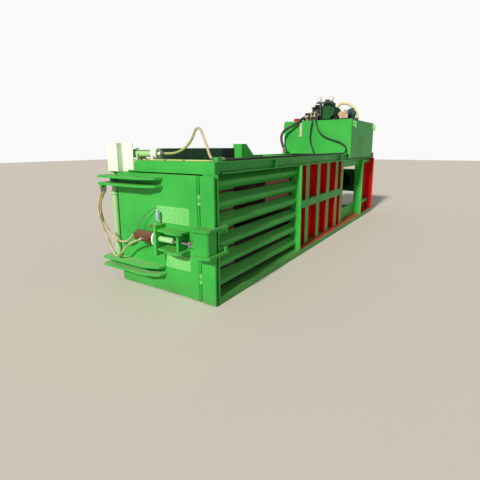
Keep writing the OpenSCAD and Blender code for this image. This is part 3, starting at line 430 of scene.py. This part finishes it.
def cut_plate(name, low, high, material, body):
    """One plate as a piece, with its cut edges eased."""
    bm = bmesh.new()
    plate(bm, low, high)
    bmesh.ops.bevel(bm, geom=bm.edges[:], offset=0.002, segments=2, profile=0.5, affect="EDGES",
                    material=-1)
    solid(bm, name, material, body)


chord_lo, chord_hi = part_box("top_chord_right")
flange_t = 0.012
corner_inset = 0.040
corner_start, corner_end = front + 0.019, front + 0.144
cut_plate("corner_plate",
          (chord_hi[0] - corner_inset - flange_t, corner_start, chord_lo[2] + 0.001),
          (chord_hi[0] - corner_inset, corner_end, chord_hi[2] - flange_t),
          green, "frame")


# The welds of the door
# Hand-laid fillet welds, painted over with the plates: every run shows the ripples of its puddle.
def bead(bm, start, end, size, ripple=0.014):
    """One run of weld along a straight seam."""
    start, run = Vector(start), Vector(end) - Vector(start)
    count = max(2, round(run.length / ripple))
    ring = bmesh.ops.create_circle(bm, cap_ends=True, segments=6, radius=size,
                                   matrix=pointing(start, run))["verts"]
    edges = list({edge for vert in ring for edge in vert.link_edges})
    for i in range(count):
        grown = bmesh.ops.extrude_edge_only(bm, edges=edges)["geom"]
        ring = [part for part in grown if isinstance(part, bmesh.types.BMVert)]
        edges = [part for part in grown if isinstance(part, bmesh.types.BMEdge)
                 and all(vert in ring for vert in part.verts)]
        bmesh.ops.translate(bm, verts=ring, vec=run / count)
        swell = 0.82 if i % 2 else 1 / 0.82
        centre = start + run * (i + 1) / count
        bmesh.ops.scale(bm, verts=ring, vec=(swell, swell, swell), space=Matrix.Translation(-centre))
    bmesh.ops.edgeloop_fill(bm, edges=edges)


def weld_runs(name, seams, size, body="frame"):
    """All welds of one group as one piece."""
    bm = bmesh.new()
    for start, end in seams:
        bead(bm, start, end, size)
    solid(bm, name, green, body, smooth=True)


fillet = 0.006
small_fillet = 0.005
lock_y = front - 0.125
lock_z = 0.620

leaf_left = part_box("door_leaf")[0][0]
strap_end = 0.02
strap_t = 0.024
strap_levels = (0.210, 0.295, 1.145, 1.225)
strap_seams = []
for level in strap_levels:
    for side in (-1, 1):
        z = level + side * (strap_t / 2 + 0.001)
        strap_seams.append(((leaf_left + 0.004, door_face, z), (strap_end, door_face, z)))
weld_runs("door_strap_welds", strap_seams, fillet, "door")

# The faces of the shelves, jaws and lever are counted from the height of the lock's axis
shelf_faces = (-0.117, -0.092, 0.080, 0.105)
shelf_start, shelf_end = 0.055, 0.372
end_plate_faces = (0.020, 0.050)
end_plate_low, end_plate_top = lock_z - 0.165, lock_z + 0.145
bracket_seams = []
for rise in shelf_faces:
    z = lock_z + rise
    bracket_seams.append(((shelf_start, door_face, z), (shelf_end, door_face, z)))
for x in end_plate_faces:
    bracket_seams.append(((x, door_face, end_plate_low), (x, door_face, end_plate_top)))
weld_runs("lock_bracket_welds", bracket_seams, fillet, "door")

doubler_left, doubler_right = -0.064, 0.37
doubler_low, doubler_top = 0.770, 0.945
stile_left, stile_right = 0.377, 0.480
leaf_low, leaf_top = 0.03, 1.26
lower_left, lower_low, lower_top = 0.036, 0.320, 0.450
open_seam_end = 0.015
stile_seams = [
    ((stile_left, door_face, leaf_low), (stile_left, door_face, leaf_top)),
    ((stile_right, door_face, leaf_low), (stile_right, door_face, leaf_top)),
    ((doubler_left, door_face, doubler_top), (doubler_right, door_face, doubler_top)),
    ((doubler_left, door_face, doubler_low), (open_seam_end, door_face, doubler_low)),
    ((doubler_left, door_face, doubler_low), (doubler_left, door_face, doubler_top)),
    ((lower_left, door_face, lower_low), (lower_left, door_face, lower_top))]
weld_runs("door_plate_welds", stile_seams, small_fillet, "door")

# The plug welds
# The two doubler plates on the door are held by staggered rows of plug welds, each a low dome drawn pale
# green as a painted highlight
doubler_face = door_face - 0.008
plug_pitch = 0.036
plug_radius, plug_rise = 0.007, 0.002
plug_fields = ((-0.045, 0.350, 0.785, 0.930), (0.055, 0.350, 0.318, 0.430))
bm = bmesh.new()
for first_x, last_x, first_z, last_z in plug_fields:
    for j in range(round((last_z - first_z) / plug_pitch) + 1):
        shift = plug_pitch * (j % 2)
        z = first_z + plug_pitch * j
        for i in range(int((last_x - first_x - shift) / (2 * plug_pitch)) + 1):
            x = first_x + shift + 2 * plug_pitch * i
            drum(bm, (x, doubler_face, z), (0, -1, 0), plug_radius, plug_rise, sides=16)
            drum(bm, (x, doubler_face - plug_rise, z), (0, -1, 0), plug_radius - 0.0005, plug_rise,
                 sides=16, taper=0.5)
# The domes' pale green is a painted highlight
plug_highlight_paint = enamel("painted_highlight_plug_welds", "#9bdc93", "#78c875", 0.3, 0.3)
solid(bm, "door_plug_welds", plug_highlight_paint, "door")

# The welds of the claw, the ribs and the tank
# The same fillet runs: across the claw's jaws and lever, along the ribs of the chamber and over their
# ends, and up the corners of the oil tank
claw_face = front - 0.055
jaw_faces = (-0.103, -0.077, 0.151, 0.177)
jaw_start, jaw_end = 0.545, 0.685
lever_faces = (-0.012, 0.012)
lever_start, lever_end = 0.530, 0.575
claw_seams = []
for rise in jaw_faces:
    claw_seams.append(((jaw_start, claw_face, lock_z + rise), (jaw_end, claw_face, lock_z + rise)))
for rise in lever_faces:
    claw_seams.append(((lever_start, claw_face, lock_z + rise), (lever_end, claw_face, lock_z + rise)))
weld_runs("claw_welds", claw_seams, fillet, "claw")

wall_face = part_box("chamber_wall_right")[1][0]
rib_first, root_end = front + 0.03, front + 0.49
rib_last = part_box("middle_posts")[0][1] - 0.004
rib_count, lowest_rib, rib_pitch = 6, 0.180, 0.202
rib_root, rib_tip, rib_depth = 0.0785, 0.020, 0.09
rib_seams = []
for side in (-1, 1):
    foot, tip = side * wall_face, side * (wall_face + rib_depth)
    for level in [lowest_rib + rib_pitch * i for i in range(rib_count)]:
        for edge in (-1, 1):
            z = level + edge * rib_root
            rib_seams.append(((foot, rib_first, z), (foot, root_end, z)))
            rib_seams.append(((foot, rib_last, z), (tip, rib_last, level + edge * rib_tip)))
        rib_seams.append(((tip, rib_last, level - rib_tip), (tip, rib_last, level + rib_tip)))
weld_runs("chamber_rib_welds", rib_seams, fillet)

tank_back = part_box("tank")[1][1]
tank_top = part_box("tank_lid")[1][2]
tank_seams = [((x, y, deck), (x, y, tank_top))
              for x in (-tank_side, tank_side) for y in (tank_front, tank_back)]
weld_runs("tank_corner_welds", tank_seams, small_fillet)


# The wear plates
# Hard plate, never painted inside: hot-rolled scale with rust, rubbed bright along the ram's way
def rolled_plate(name, scale_colour, rust_colour, roughness):
    """Hot-rolled plate with scale, patchy rust and bright rub marks along the bed."""
    mat, shader, place = finish_named(name, Metallic=0.55)
    rust_patch = 0.22
    rub_size = (0.03, 0.9, 0.03)
    rust = add(mat, "TexNoise", {"Vector": place, "Scale": 1 / rust_patch, "Detail": 8.0,
                                 "Roughness": 0.65})
    rusty = add(mat, "MapRange", {"Value": rust.outputs["Fac"], "From Min": 0.4, "From Max": 0.62})
    skin = add(mat, "Mix", {0: rusty.outputs[0], 6: linear(scale_colour), 7: linear(rust_colour)},
               data_type="RGBA")
    drawn = add(mat, "Mapping", {"Vector": place, "Scale": [1 / size for size in rub_size]})
    rub = add(mat, "TexNoise", {"Vector": drawn.outputs[0], "Scale": 1.0, "Detail": 3.0})
    bright = add(mat, "MapRange", {"Value": rub.outputs["Fac"], "From Min": 0.58, "From Max": 0.72,
                                   "To Max": 0.6})
    rubbed = add(mat, "Mix", {0: bright.outputs[0], 6: skin.outputs[2], 7: linear("#8d8880")},
                 data_type="RGBA")
    mat.node_tree.links.new(rubbed.outputs[2], shader.inputs["Base Color"])
    shine = add(mat, "MapRange", {"Value": bright.outputs[0], "To Min": roughness, "To Max": 0.35})
    mat.node_tree.links.new(shine.outputs[0], shader.inputs["Roughness"])
    relief = add(mat, "Bump", {"Height": rust.outputs["Fac"], "Strength": 0.4, "Distance": 0.002})
    mat.node_tree.links.new(relief.outputs[0], shader.inputs["Normal"])
    return mat


liner = rolled_plate("rusty_wear_plate", "#3b332d", "#5f3a24", 0.75)
coat_nodes(liner, "floor_plate", "chamber_wall_right", "chamber_wall_left")
worked_plate = rolled_plate("worked_steel_plate", "#8a8a88", "#6a5f55", 0.5)
coat_nodes(worked_plate, "ram_apron", "fixed_knife", "ram_knife", "cylinder_gland")

# The red panels
# The wall plates of the press section and of the rear end show between the green ribs, sprayed red
# outside and bare inside; the filler cap has the same red
for side in ("right", "left"):
    eased("press_wall_" + side, red, plate_edge, 2, liner, lambda n, c: abs(c.x) < wall_side - 0.01)
    eased("rear_wall_" + side, red, plate_edge, 2, green, lambda n, c: abs(c.x) > wall_side + 0.01)
coat_nodes(red, "filler_cap")


# The ram and the main cylinder
# The ram is a welded box in dark green primer, bare on the face that meets the material, and the rod is
# ground bar with hard chrome
def bolt_circle(count, radius):
    """Offsets of a ring of screws, the first half a step from the start."""
    turns = [math.radians((i + 0.5) * 360 / count) for i in range(count)]
    return [(radius * math.cos(a), radius * math.sin(a)) for a in turns]


dark_green = enamel("dark_green_paint", "#1f5f36", "#184a2b", 0.42, 0.4)
chrome = plated_steel("hard_chrome", "#d6d8da", 0.16)
turned = plated_steel("turned_steel", "#a9a79f", 0.38)
coat_nodes(dark_green, "main_cylinder")
coat_nodes(chrome, "ram_rod", "lock_rod")
coat_nodes(turned, "claw_pins")
eased("ram_body", dark_green, plate_edge, 2, liner, lambda n, c: n.y < -0.5)
gland_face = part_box("cylinder_gland")[0][1]
gland_z = 0.740
screw_depth, screw_radius, screw_height = 0.013, 0.0085, 0.012
screw_count, screw_circle = 12, 0.153
bm = bmesh.new()
for dx, dz in bolt_circle(screw_count, screw_circle):
    drum(bm, (dx, gland_face + screw_depth, gland_z + dz), (0, -1, 0), screw_radius, screw_height)
solid(bm, "gland_screws", zinc_plate, "frame")


# The door cylinder
# Tie-rod cylinder on two foot plates along the front edge of the deck, drawn pale green with its front end
# near-white as painted sunlight; its rod turns the crank on the door's shaft
def hex_bolt(bm, seat, out, across, washer=True):
    """Hexagon head on its washer."""
    radius = across / math.sqrt(3)
    head, crown = across * 0.5, across * 0.08
    lift = 0.0
    if washer:
        lift = across * 0.14
        drum(bm, seat, out, across * 0.95, lift)
    way = Vector(out).normalized()
    top = Vector(seat) + way * lift
    drum(bm, top, out, radius, head, sides=6)
    drum(bm, top + way * head, out, radius * 0.86, crown, sides=6, taper=0.8)


turned_edge = 0.002
# Lit copies of the green, pale and near-white, laid as painted sunlight on the sunlit parts at the door
pale = enamel("painted_sunlight_pale_green_enamel", "#a9d79a", "#8cc97f", 0.3, 0.3)
painted_sunlight_white = enamel("painted_sunlight_white_enamel", "#e8f2e2", "#d6e8cf", 0.3, 0.3)
rear_head = -0.212
rod_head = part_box("door_rod")[0][0] + 0.1405
eased("door_cylinder", pale, turned_edge, 2, painted_sunlight_white, lambda n, c: c.x > rear_head and c.z > deck + 0.02)
# The crank's faces towards the side and the front take the near-white as painted sunlight
eased("door_crank", pale, plate_edge, 2, painted_sunlight_white, lambda n, c: n.x > 0.5 or n.y < -0.5)
crank_lo, crank_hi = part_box("door_crank")
guard_y, guard_t, guard_end = crank_lo[1] + 0.072, 0.010, -0.450
# The guard plate is drawn near-white as painted sunlight
cut_plate("crank_guard_plate", (crank_hi[0] - 0.002, guard_y, crank_lo[2]),
          (guard_end, guard_y + guard_t, crank_hi[2]), painted_sunlight_white, "door")
# The rod's head is drawn near-white as painted sunlight
eased("door_rod", chrome, turned_edge, 2, painted_sunlight_white, lambda n, c: c.x < rod_head)

cylinder_y = sum(corner[1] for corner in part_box("door_cylinder")) / 2
cylinder_z = 1.472
foot_bolt_spread = 0.045
tie_rod_circle, tie_rod_radius = 0.042, 0.005
tie_rod_start, tie_rod_length = -0.47, 0.26
tie_nut_x, tie_nut_radius, tie_nut_t = -0.13, 0.011, 0.012
bm = bmesh.new()
for foot_x in (-0.378, -0.148):
    for side in (-1, 1):
        hex_bolt(bm, (foot_x, cylinder_y + side * foot_bolt_spread, deck), (0, 0, 1), 0.022)
for dy, dz in bolt_circle(4, tie_rod_circle):
    y, z = cylinder_y + dy, cylinder_z + dz
    drum(bm, (tie_rod_start, y, z), (1, 0, 0), tie_rod_radius, tie_rod_length, sides=12)
    drum(bm, (tie_nut_x, y, z), (1, 0, 0), tie_nut_radius, tie_nut_t, sides=6)
solid(bm, "door_cylinder_tie_rods", zinc_plate, "frame")


# The lock cylinder
# Welded cylinder in red-brown primer, bolted by its flange to the end plate of the bracket; its rod runs
# out through a long nose between the shelves. The flange is drawn near-white and the nose pale green as
# painted sunlight
primer = enamel("red_brown_primer", "#6d4634", "#553526", 0.55, 0.5)
# The flange's faces take the near-white as painted sunlight
eased("lock_cylinder", primer, turned_edge, 2, painted_sunlight_white, lambda n, c: c.x > -0.002)
flange_circle, flange_bolt = 0.070, 0.018
bm = bmesh.new()
for dy, dz in bolt_circle(6, flange_circle):
    hex_bolt(bm, (0.0, lock_y + dy, lock_z + dz), (-1, 0, 0), flange_bolt)
solid(bm, "lock_flange_bolts", zinc_plate, "door")

nose_start, nose_end, nose_inner, nose_outer = 0.050, 0.236, 0.0215, 0.029
nose_chamfer = 0.006
bm = bmesh.new()
ring = [bm.verts.new((x, lock_y + r, lock_z)) for x, r in (
    (nose_start, nose_inner), (nose_start, nose_outer), (nose_end - nose_chamfer, nose_outer),
    (nose_end, nose_outer - nose_chamfer), (nose_end, nose_inner))]
edges = [bm.edges.new((a, b)) for a, b in zip(ring, ring[1:] + ring[:1])]
bmesh.ops.spin(bm, geom=ring + edges, cent=(0, lock_y, lock_z), axis=(1, 0, 0), angle=2 * math.pi,
               steps=40, use_merge=True)
# The nose takes the pale green of painted sunlight
solid(bm, "lock_cylinder_nose", pale, "door")


# The lock cylinder's fittings
# Turned brass elbows, screwed into the two ports and on top near the flange
def brass(name):
    """Turned brass: warm and bright, a little tarnished."""
    mat, shader, place = finish_named(name, Metallic=1.0, Roughness=0.3)
    tarnish_patch = 0.03
    film = add(mat, "TexNoise", {"Vector": place, "Scale": 1 / tarnish_patch, "Detail": 3.0})
    tone = add(mat, "Mix", {0: film.outputs["Fac"], 6: linear("#d2ad58"), 7: linear("#8c6b35")},
               data_type="RGBA")
    mat.node_tree.links.new(tone.outputs[2], shader.inputs["Base Color"])
    return mat


brass_fitting = brass("turned_brass")
front_port_x, front_port_y, rear_port_x = -0.045, lock_y - 0.058, -0.308
port_nut = 0.019
elbow_x, elbow_foot, elbow_neck, elbow_turn = -0.040, lock_z + 0.055, lock_z + 0.105, lock_z + 0.120
bm = bmesh.new()
drum(bm, (front_port_x, front_port_y, lock_z), (0, -1, 0), port_nut, 0.012, sides=6)
drum(bm, (rear_port_x, lock_y, lock_z), (1, 0, 0), port_nut, 0.024, sides=6)
drum(bm, (elbow_x, lock_y, elbow_foot), (0, 0, 1), 0.015, 0.05, sides=6)
drum(bm, (elbow_x, lock_y, elbow_neck), (0, 0, 1), 0.012, 0.03)
drum(bm, (elbow_x, lock_y, elbow_turn), (-1, 0, 0), 0.011, 0.05)
solid(bm, "lock_port_elbows", brass_fitting, "door")


# The pipes on the deck's edge
# Two small-bore pipes run from the door cylinder's foot along the deck's front edge to the corner, held
# down by three clips
def pipe(name, route, radius, material, body):
    """A bent small-bore pipe."""
    obj, _ = round_tube(name, route, radius, 3, material)
    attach(obj, body)


sand_pipe = enamel("sand_pipe_paint", "#d9cf8f", "#b9c077", 0.5, 0.3)
deck_pipe_radius = 0.006
clip_half, clip_height = 0.010, 0.015
clip_start, clip_end = front + 0.006, front + 0.064
for lane, end_x in ((22, 560), (46, 470)):
    pipe(f"deck_edge_pipe_{lane}", at(front, [
        (-372, 60 + lane, 1407), (-340, lane + 30, 1407), (-290, lane, 1407), (-120, lane - 4, 1407),
        (100, lane + 5, 1407), (300, lane - 4, 1407), (end_x - 60, lane, 1407), (end_x, lane + 16, 1407),
        (end_x + 30, lane + 50, 1407)]), deck_pipe_radius, sand_pipe, "frame")
bm = bmesh.new()
for x in (-0.24, 0.02, 0.28):
    plate(bm, (x - clip_half, clip_start, deck), (x + clip_half, clip_end, deck + clip_height))
solid(bm, "deck_pipe_clips", zinc_plate, "frame")


# The pilot pipe and the pressure switch
# A thin plated pipe climbs from the lock cylinder's rear end and comes down past a pale blue pressure
# switch to the elbow by the flange
def one_colour(name, colour, **values):
    """A finish of one even colour, as a small moulding, a printed card or glass has."""
    mat, shader, _ = finish_named(name, **values)
    shader.inputs["Base Color"].default_value = linear(colour)
    return mat


pilot_radius = 0.004
pipe("lock_pilot_pipe", at(front, [
    (-295, -125, 640), (-290, -122, 690), (-240, -110, 780), (-185, -100, 838), (-105, -96, 899),
    (-50, -94, 920), (-10, -94, 900), (-8, -96, 850), (-10, -100, 790), (-30, -115, 765),
    (-40, -125, 750)]), pilot_radius, zinc_plate, "door")
blue_plastic = one_colour("pale_blue_moulding", "#a9bfd6", Roughness=0.35)
switch_x, switch_y = -0.009, front - 0.095
nut_z, body_z, cap_z = 0.800, 0.835, 0.885
bm = bmesh.new()
drum(bm, (switch_x, switch_y, nut_z), (0, 0, 1), 0.017, body_z - nut_z, sides=6)
drum(bm, (switch_x, switch_y, body_z), (0, 0, 1), 0.020, cap_z - body_z)
drum(bm, (switch_x, switch_y, cap_z), (0, 0, 1), 0.012, 0.02)
solid(bm, "lock_pressure_switch", blue_plastic, "door")

# The oil tank's lid
# Flat lid of plate, screwed down all round its rim
lid_lo, lid_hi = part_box("tank_lid")
rim_inset = 0.035
lid_screw = 0.019
across_count, along_count = 5, 6
left_row, right_row = lid_lo[0] + rim_inset, lid_hi[0] - rim_inset
front_row, rear_row = lid_lo[1] + rim_inset, lid_hi[1] - rim_inset
bm = bmesh.new()
for i in range(across_count):
    x = left_row + (right_row - left_row) * i / (across_count - 1)
    for y in (front_row, rear_row):
        hex_bolt(bm, (x, y, tank_top), (0, 0, 1), lid_screw)
for i in range(1, along_count):
    y = front_row + (rear_row - front_row) * i / along_count
    for x in (left_row, right_row):
        hex_bolt(bm, (x, y, tank_top), (0, 0, 1), lid_screw)
solid(bm, "tank_lid_screws", zinc_plate, "frame")

# The level gauge
# Cream case on the tank's front with a glass tube between its two screws
gauge_case = enamel("cream_gauge_case", "#ece7cf", "#ddd6b8", 0.35, 0.2)
glass = one_colour("sight_glass", "#d8d4a0", Roughness=0.08, IOR=1.49, Transmission_Weight=0.6)
eased("level_gauge", gauge_case, plate_edge)
level_lo, level_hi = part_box("level_gauge")
level_x = (level_lo[0] + level_hi[0]) / 2
tube_inset, tube_depth, tube_radius = 0.036, 0.010, 0.006
level_screw, level_head = 0.012, 0.004
bm = bmesh.new()
drum(bm, (level_x, level_lo[1] + tube_depth, level_lo[2] + tube_inset), (0, 0, 1), tube_radius,
     level_hi[2] - level_lo[2] - 2 * tube_inset)
solid(bm, "level_gauge_tube", glass, "frame", smooth=True)
bm = bmesh.new()
for z in (level_lo[2] + tube_inset / 2, level_hi[2] - tube_inset / 2):
    drum(bm, (level_x, level_lo[1], z), (0, -1, 0), level_screw, level_head, sides=6)
solid(bm, "level_gauge_screws", zinc_plate, "frame")

# The valve block
# Steel manifold blacked by chemical oxide, with solenoid coils in moulded black covers
blacked = plated_steel("blacked_steel", "#2a2a2b", 0.42)
coat_nodes(blacked, "valve_manifold")
moulded, shader, place = finish_named("moulded_black_cover", Roughness=0.5)
# The real grain is about 0.5 mm, too fine to show, so it is drawn six times as coarse
grain_pitch = 0.003
shader.inputs["Base Color"].default_value = linear("#1d1d1f")
grain = add(moulded, "TexNoise", {"Vector": place, "Scale": 1 / grain_pitch, "Detail": 1.0})
relief = add(moulded, "Bump", {"Height": grain.outputs["Fac"], "Strength": 0.3, "Distance": 0.0006})
moulded.node_tree.links.new(relief.outputs[0], shader.inputs["Normal"])
coat_nodes(moulded, "solenoid_valves")
valve_y = tank_front + 0.210
first_valve, valve_pitch = -0.293, 0.066
pin_radius, pin_length, cover_screw = 0.010, 0.014, 0.006
pin_z, cover_z, outlet_z = tank_top + 0.142, tank_top + 0.172, tank_top + 0.060
outlet_nut, outlet_t = 0.031, 0.010
bm = bmesh.new()
for i in range(2):
    x = first_valve + valve_pitch * i
    for y, way in ((valve_y - 0.060, -1), (valve_y + 0.250, 1)):
        drum(bm, (x, y, pin_z), (0, way, 0), pin_radius, pin_length)
    for y in (valve_y + 0.045, valve_y + 0.155):
        drum(bm, (x, y, cover_z), (0, 0, 1), cover_screw, cover_screw, sides=12)
    stacked = (-0.155 + 0.062 * i, valve_y - 0.055, tank_top + 0.252 + 0.040 * i)
    drum(bm, stacked, (0, -1, 0), pin_radius, pin_length)
for x in (-0.290, -0.215, -0.140):
    drum(bm, (x, valve_y, outlet_z), (0, -1, 0), outlet_nut, outlet_t, sides=6)
solid(bm, "valve_pins_and_nuts", brass_fitting, "frame")

# The small fittings of the valve block
# Pale plated elbows and caps crowd the foot of the block's front, each on its hexagon
pale_plate = plated_steel("yellow_zinc_fitting", "#f2e3b6", 0.5, 0.35)
fitting_xs = (-0.325, -0.252, -0.178, -0.105)
low_row, high_row, bent_row = tank_top + 0.026, tank_top + 0.098, tank_top + 0.165
nut_radius, stem_radius, cap_radius = 0.024, 0.017, 0.021
nut_t, cap_t, cap_seat = 0.018, 0.014, 0.012
bm = bmesh.new()
for i, x in enumerate(fitting_xs):
    for z, reach in ((low_row, 0.075), (high_row, 0.050 + 0.015 * (i % 2))):
        drum(bm, (x, valve_y, z), (0, -1, 0), nut_radius, nut_t, sides=6)
        drum(bm, (x, valve_y - nut_t, z), (0, -1, 0), stem_radius, reach)
        drum(bm, (x, valve_y - cap_seat - reach, z), (0, -1, 0), cap_radius, cap_t, sides=6)
for x in fitting_xs[2:]:
    drum(bm, (x, valve_y, bent_row), (0, -1, 0), 0.022, nut_t, sides=6)
    drum(bm, (x, valve_y - nut_t, bent_row), (0, -1, 0), 0.015, 0.045)
    drum(bm, (x, valve_y - 0.060, tank_top + 0.178), (0, 0, -1), 0.016, 0.055)
solid(bm, "valve_block_fittings", pale_plate, "frame")
test_x, test_z, test_t = -0.040, tank_top + 0.122, 0.020
bm = bmesh.new()
drum(bm, (test_x, valve_y, test_z), (0, -1, 0), 0.022, test_t, sides=6)
drum(bm, (test_x, valve_y - test_t, test_z), (0, -1, 0), 0.016, test_t, taper=0.7)
solid(bm, "test_point_cap", chrome, "frame")

# The pressure gauges
# Steel-cased dial gauges on the top pipe: white dial, printed ticks, black needle and a bright rim
case_steel = plated_steel("polished_case", "#d8d0ca", 0.2)
dial_white = one_colour("dial_card", "#efe6df", Roughness=0.45)
ink = one_colour("printing_ink", "#201f1f", Roughness=0.5)
coat_nodes(case_steel, "pressure_gauges")
gauge_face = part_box("pressure_gauges")[0][1]
gauge_z = tank_top + 0.430
rim_radius, card_radius, tick_radius, hub_radius = 0.0425, 0.037, 0.031, 0.005
rim_y, card_y, tick_y, needle_y = 0.003, -0.0015, -0.0035, -0.004
rim_t, card_t, hub_t = 0.005, 0.002, 0.002
tick_size = Matrix.Diagonal((0.0022, 0.0006, 0.007, 1))
needle_size = Matrix.Diagonal((0.003, 0.001, 0.030, 1))
dial_start, dial_sweep, tick_count = 225, 270, 11
needle_turn = Matrix.Rotation(math.radians(dial_start), 4, "Y")
rims, cards, marks = bmesh.new(), bmesh.new(), bmesh.new()
for x in (-0.076, 0.176):
    centre = Vector((x, gauge_face, gauge_z))
    drum(rims, centre + Vector((0, rim_y, 0)), (0, -1, 0), rim_radius, rim_t, sides=40)
    drum(cards, centre + Vector((0, card_y, 0)), (0, -1, 0), card_radius, card_t, sides=40)
    for i in range(tick_count):
        a = math.radians(dial_start - dial_sweep * i / (tick_count - 1))
        tick = centre + Vector((tick_radius * math.cos(a), tick_y, tick_radius * math.sin(a)))
        tick_turn = Matrix.Rotation(math.pi / 2 - a, 4, "Y")
        bmesh.ops.create_cube(marks, size=1, matrix=Matrix.Translation(tick) @ tick_turn @ tick_size)
    needle = Matrix.Translation(centre + Vector((-0.010, needle_y, -0.010)))
    bmesh.ops.create_cube(marks, size=1, matrix=needle @ needle_turn @ needle_size)
    drum(marks, centre + Vector((0, tick_y, 0)), (0, -1, 0), hub_radius, hub_t, sides=16)
solid(rims, "gauge_rims", case_steel, "frame")
solid(cards, "gauge_dials", dial_white, "frame")
solid(marks, "gauge_marks", ink, "frame")

# The motors and the suction pipe
# Cast-iron motors with cooling fins on a black skid; the pipe is bent tube with a cream coat
teal = enamel("teal_motor_paint", "#2d5a63", "#234a52", 0.4, 0.3)
copper_pink = enamel("pinkish_casting_paint", "#cfa78e", "#a98370", 0.45, 0.3)
black_paint = enamel("black_skid_paint", "#161616", "#0d0d0d", 0.4, 0.3)
cream = enamel("cream_pipe_paint", "#e6dba6", "#d3c68c", 0.4, 0.3)
coat_nodes(cream, "suction_pipe")
skid_top = tank_top + 0.050
casting_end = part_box("circulation_motor")[0][1] + 0.075
eased("main_motor", dark_green, turned_edge, 2, black_paint, lambda n, c: c.z < skid_top + 0.001)
eased("circulation_motor", teal, turned_edge, 2, copper_pink,
      lambda n, c: c.y < casting_end and c.x < 0.47)
motor_x = 0.090
motor_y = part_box("main_motor")[0][1] + 0.026
box_top = tank_top + 0.380
pipe_foot_x, pipe_foot_y, pipe_foot_top = 0.530, motor_y + 0.580, tank_top + 0.024
pipe_foot_circle, pipe_foot_bolt = 0.036, 0.013
bm = bmesh.new()
for foot_xs, foot_ys, foot_bolt in (((motor_x - 0.125, motor_x + 0.125), (0.17, 0.35), 0.024),
                                    ((0.425, 0.565), (0.20, 0.32), 0.018)):
    for x in foot_xs:
        for y in foot_ys:
            hex_bolt(bm, (x, motor_y + y, skid_top), (0, 0, 1), foot_bolt)
box_screw, box_head = 0.006, 0.004
for x in (motor_x - 0.045, motor_x + 0.045):
    for y in (0.145, 0.255):
        drum(bm, (x, motor_y + y, box_top), (0, 0, 1), box_screw, box_head, sides=12)
for dx, dy in bolt_circle(4, pipe_foot_circle):
    hex_bolt(bm, (pipe_foot_x + dx, pipe_foot_y + dy, pipe_foot_top), (0, 0, 1), pipe_foot_bolt,
             washer=False)
solid(bm, "motor_bolts", zinc_plate, "frame")

# The door's hinge line
# Turned shaft, chamfered at both ends, with a thrust collar above the lower lug and a collar with a short
# arm under the upper straps, sprayed over with the door and drawn pale green as painted sunlight; brass
# grease nipples stand on the lugs
shaft_lo, shaft_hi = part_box("hinge_shaft")
shaft_x, shaft_y = -0.770, front - 0.005
shaft_radius, thrust_radius, stop_radius = 0.0348, 0.0495, 0.046
thrust_t, stop_t = 0.0097, 0.026
chamfer = 0.004
lug_levels = (0.2525, 1.185)
thrust_z, stop_z = lug_levels[0] + 0.0205, 1.015
nipple_y = front - 0.054
bm = bmesh.new()
drum(bm, (shaft_x, shaft_y, shaft_lo[2] + chamfer), (0, 0, 1), shaft_radius,
     shaft_hi[2] - shaft_lo[2] - 2 * chamfer, sides=64)
for z, way in ((shaft_lo[2] + chamfer, -1), (shaft_hi[2] - chamfer, 1)):
    drum(bm, (shaft_x, shaft_y, z), (0, 0, way), shaft_radius, chamfer, sides=64, taper=0.88)
drum(bm, (shaft_x, shaft_y, thrust_z), (0, 0, 1), thrust_radius, thrust_t, sides=64)
drum(bm, (shaft_x, shaft_y, stop_z), (0, 0, 1), stop_radius, stop_t, sides=64)
plate(bm, (shaft_x - 0.115, shaft_y - 0.014, stop_z + 0.006),
      (shaft_x - 0.040, shaft_y + 0.014, stop_z + 0.018))
# The shaft takes the pale green of painted sunlight
shaft = solid(bm, "hinge_shaft_bar", pale, "door")
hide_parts("hinge_shaft")
bm = bmesh.new()
for z in lug_levels:
    drum(bm, (shaft_x, nipple_y, z), (0, -1, 0), 0.006, 0.010, sides=12)
    drum(bm, (shaft_x, nipple_y - 0.010, z), (0, -1, 0), 0.004, 0.006, sides=12)
solid(bm, "lug_grease_nipples", brass_fitting, "frame")

# The studio
# Plain pale floor and backdrop, a soft sun from in front of the door and a low fill. The machine mirrors
# a dimmer backdrop than the camera sees, so that its paint keeps its depth.
floor_mesh = bpy.data.meshes.new("studio_floor")
bm = bmesh.new()
bmesh.ops.create_grid(bm, x_segments=1, y_segments=1, size=40)
bm.to_mesh(floor_mesh)
bm.free()
floor = bpy.data.objects.new("studio_floor", floor_mesh)
scene.collection.objects.link(floor)
floor_mesh.materials.append(one_colour("pale_studio_floor", "#d9d2c8", Roughness=0.8))

sun = bpy.data.lights.new("sun", "SUN")
sun.energy = 3.7
sun.angle = math.radians(6)
sun.color = (1.0, 0.96, 0.88)
sun_way = Vector((-0.04, 0.80, -0.50))
sun_lamp = bpy.data.objects.new("sun", sun)
sun_lamp.rotation_euler = sun_way.to_track_quat("-Z", "Y").to_euler()
scene.collection.objects.link(sun_lamp)

fill_level = 0.25
backdrop_level = 0.95
mirrored_share = 0.35
world = bpy.data.worlds.new("studio_air")
scene.world = world
world.use_nodes = True
rays = add(world, "LightPath").outputs
mirrored = add(world, "Math", {0: rays["Is Glossy Ray"], 1: mirrored_share}, operation="MULTIPLY")
seen = add(world, "Math", {0: rays["Is Camera Ray"], 1: mirrored.outputs[0]}, operation="MAXIMUM")
through = add(world, "Math", {0: seen.outputs[0], 1: rays["Is Transmission Ray"]}, operation="MAXIMUM")
level = add(world, "MapRange", {"Value": through.outputs[0], "To Min": fill_level,
                                "To Max": backdrop_level})
air = world.node_tree.nodes["Background"]
air.inputs["Color"].default_value = (1, 1, 1, 1)
world.node_tree.links.new(level.outputs[0], air.inputs["Strength"])
scene.view_settings.view_transform = "Standard"
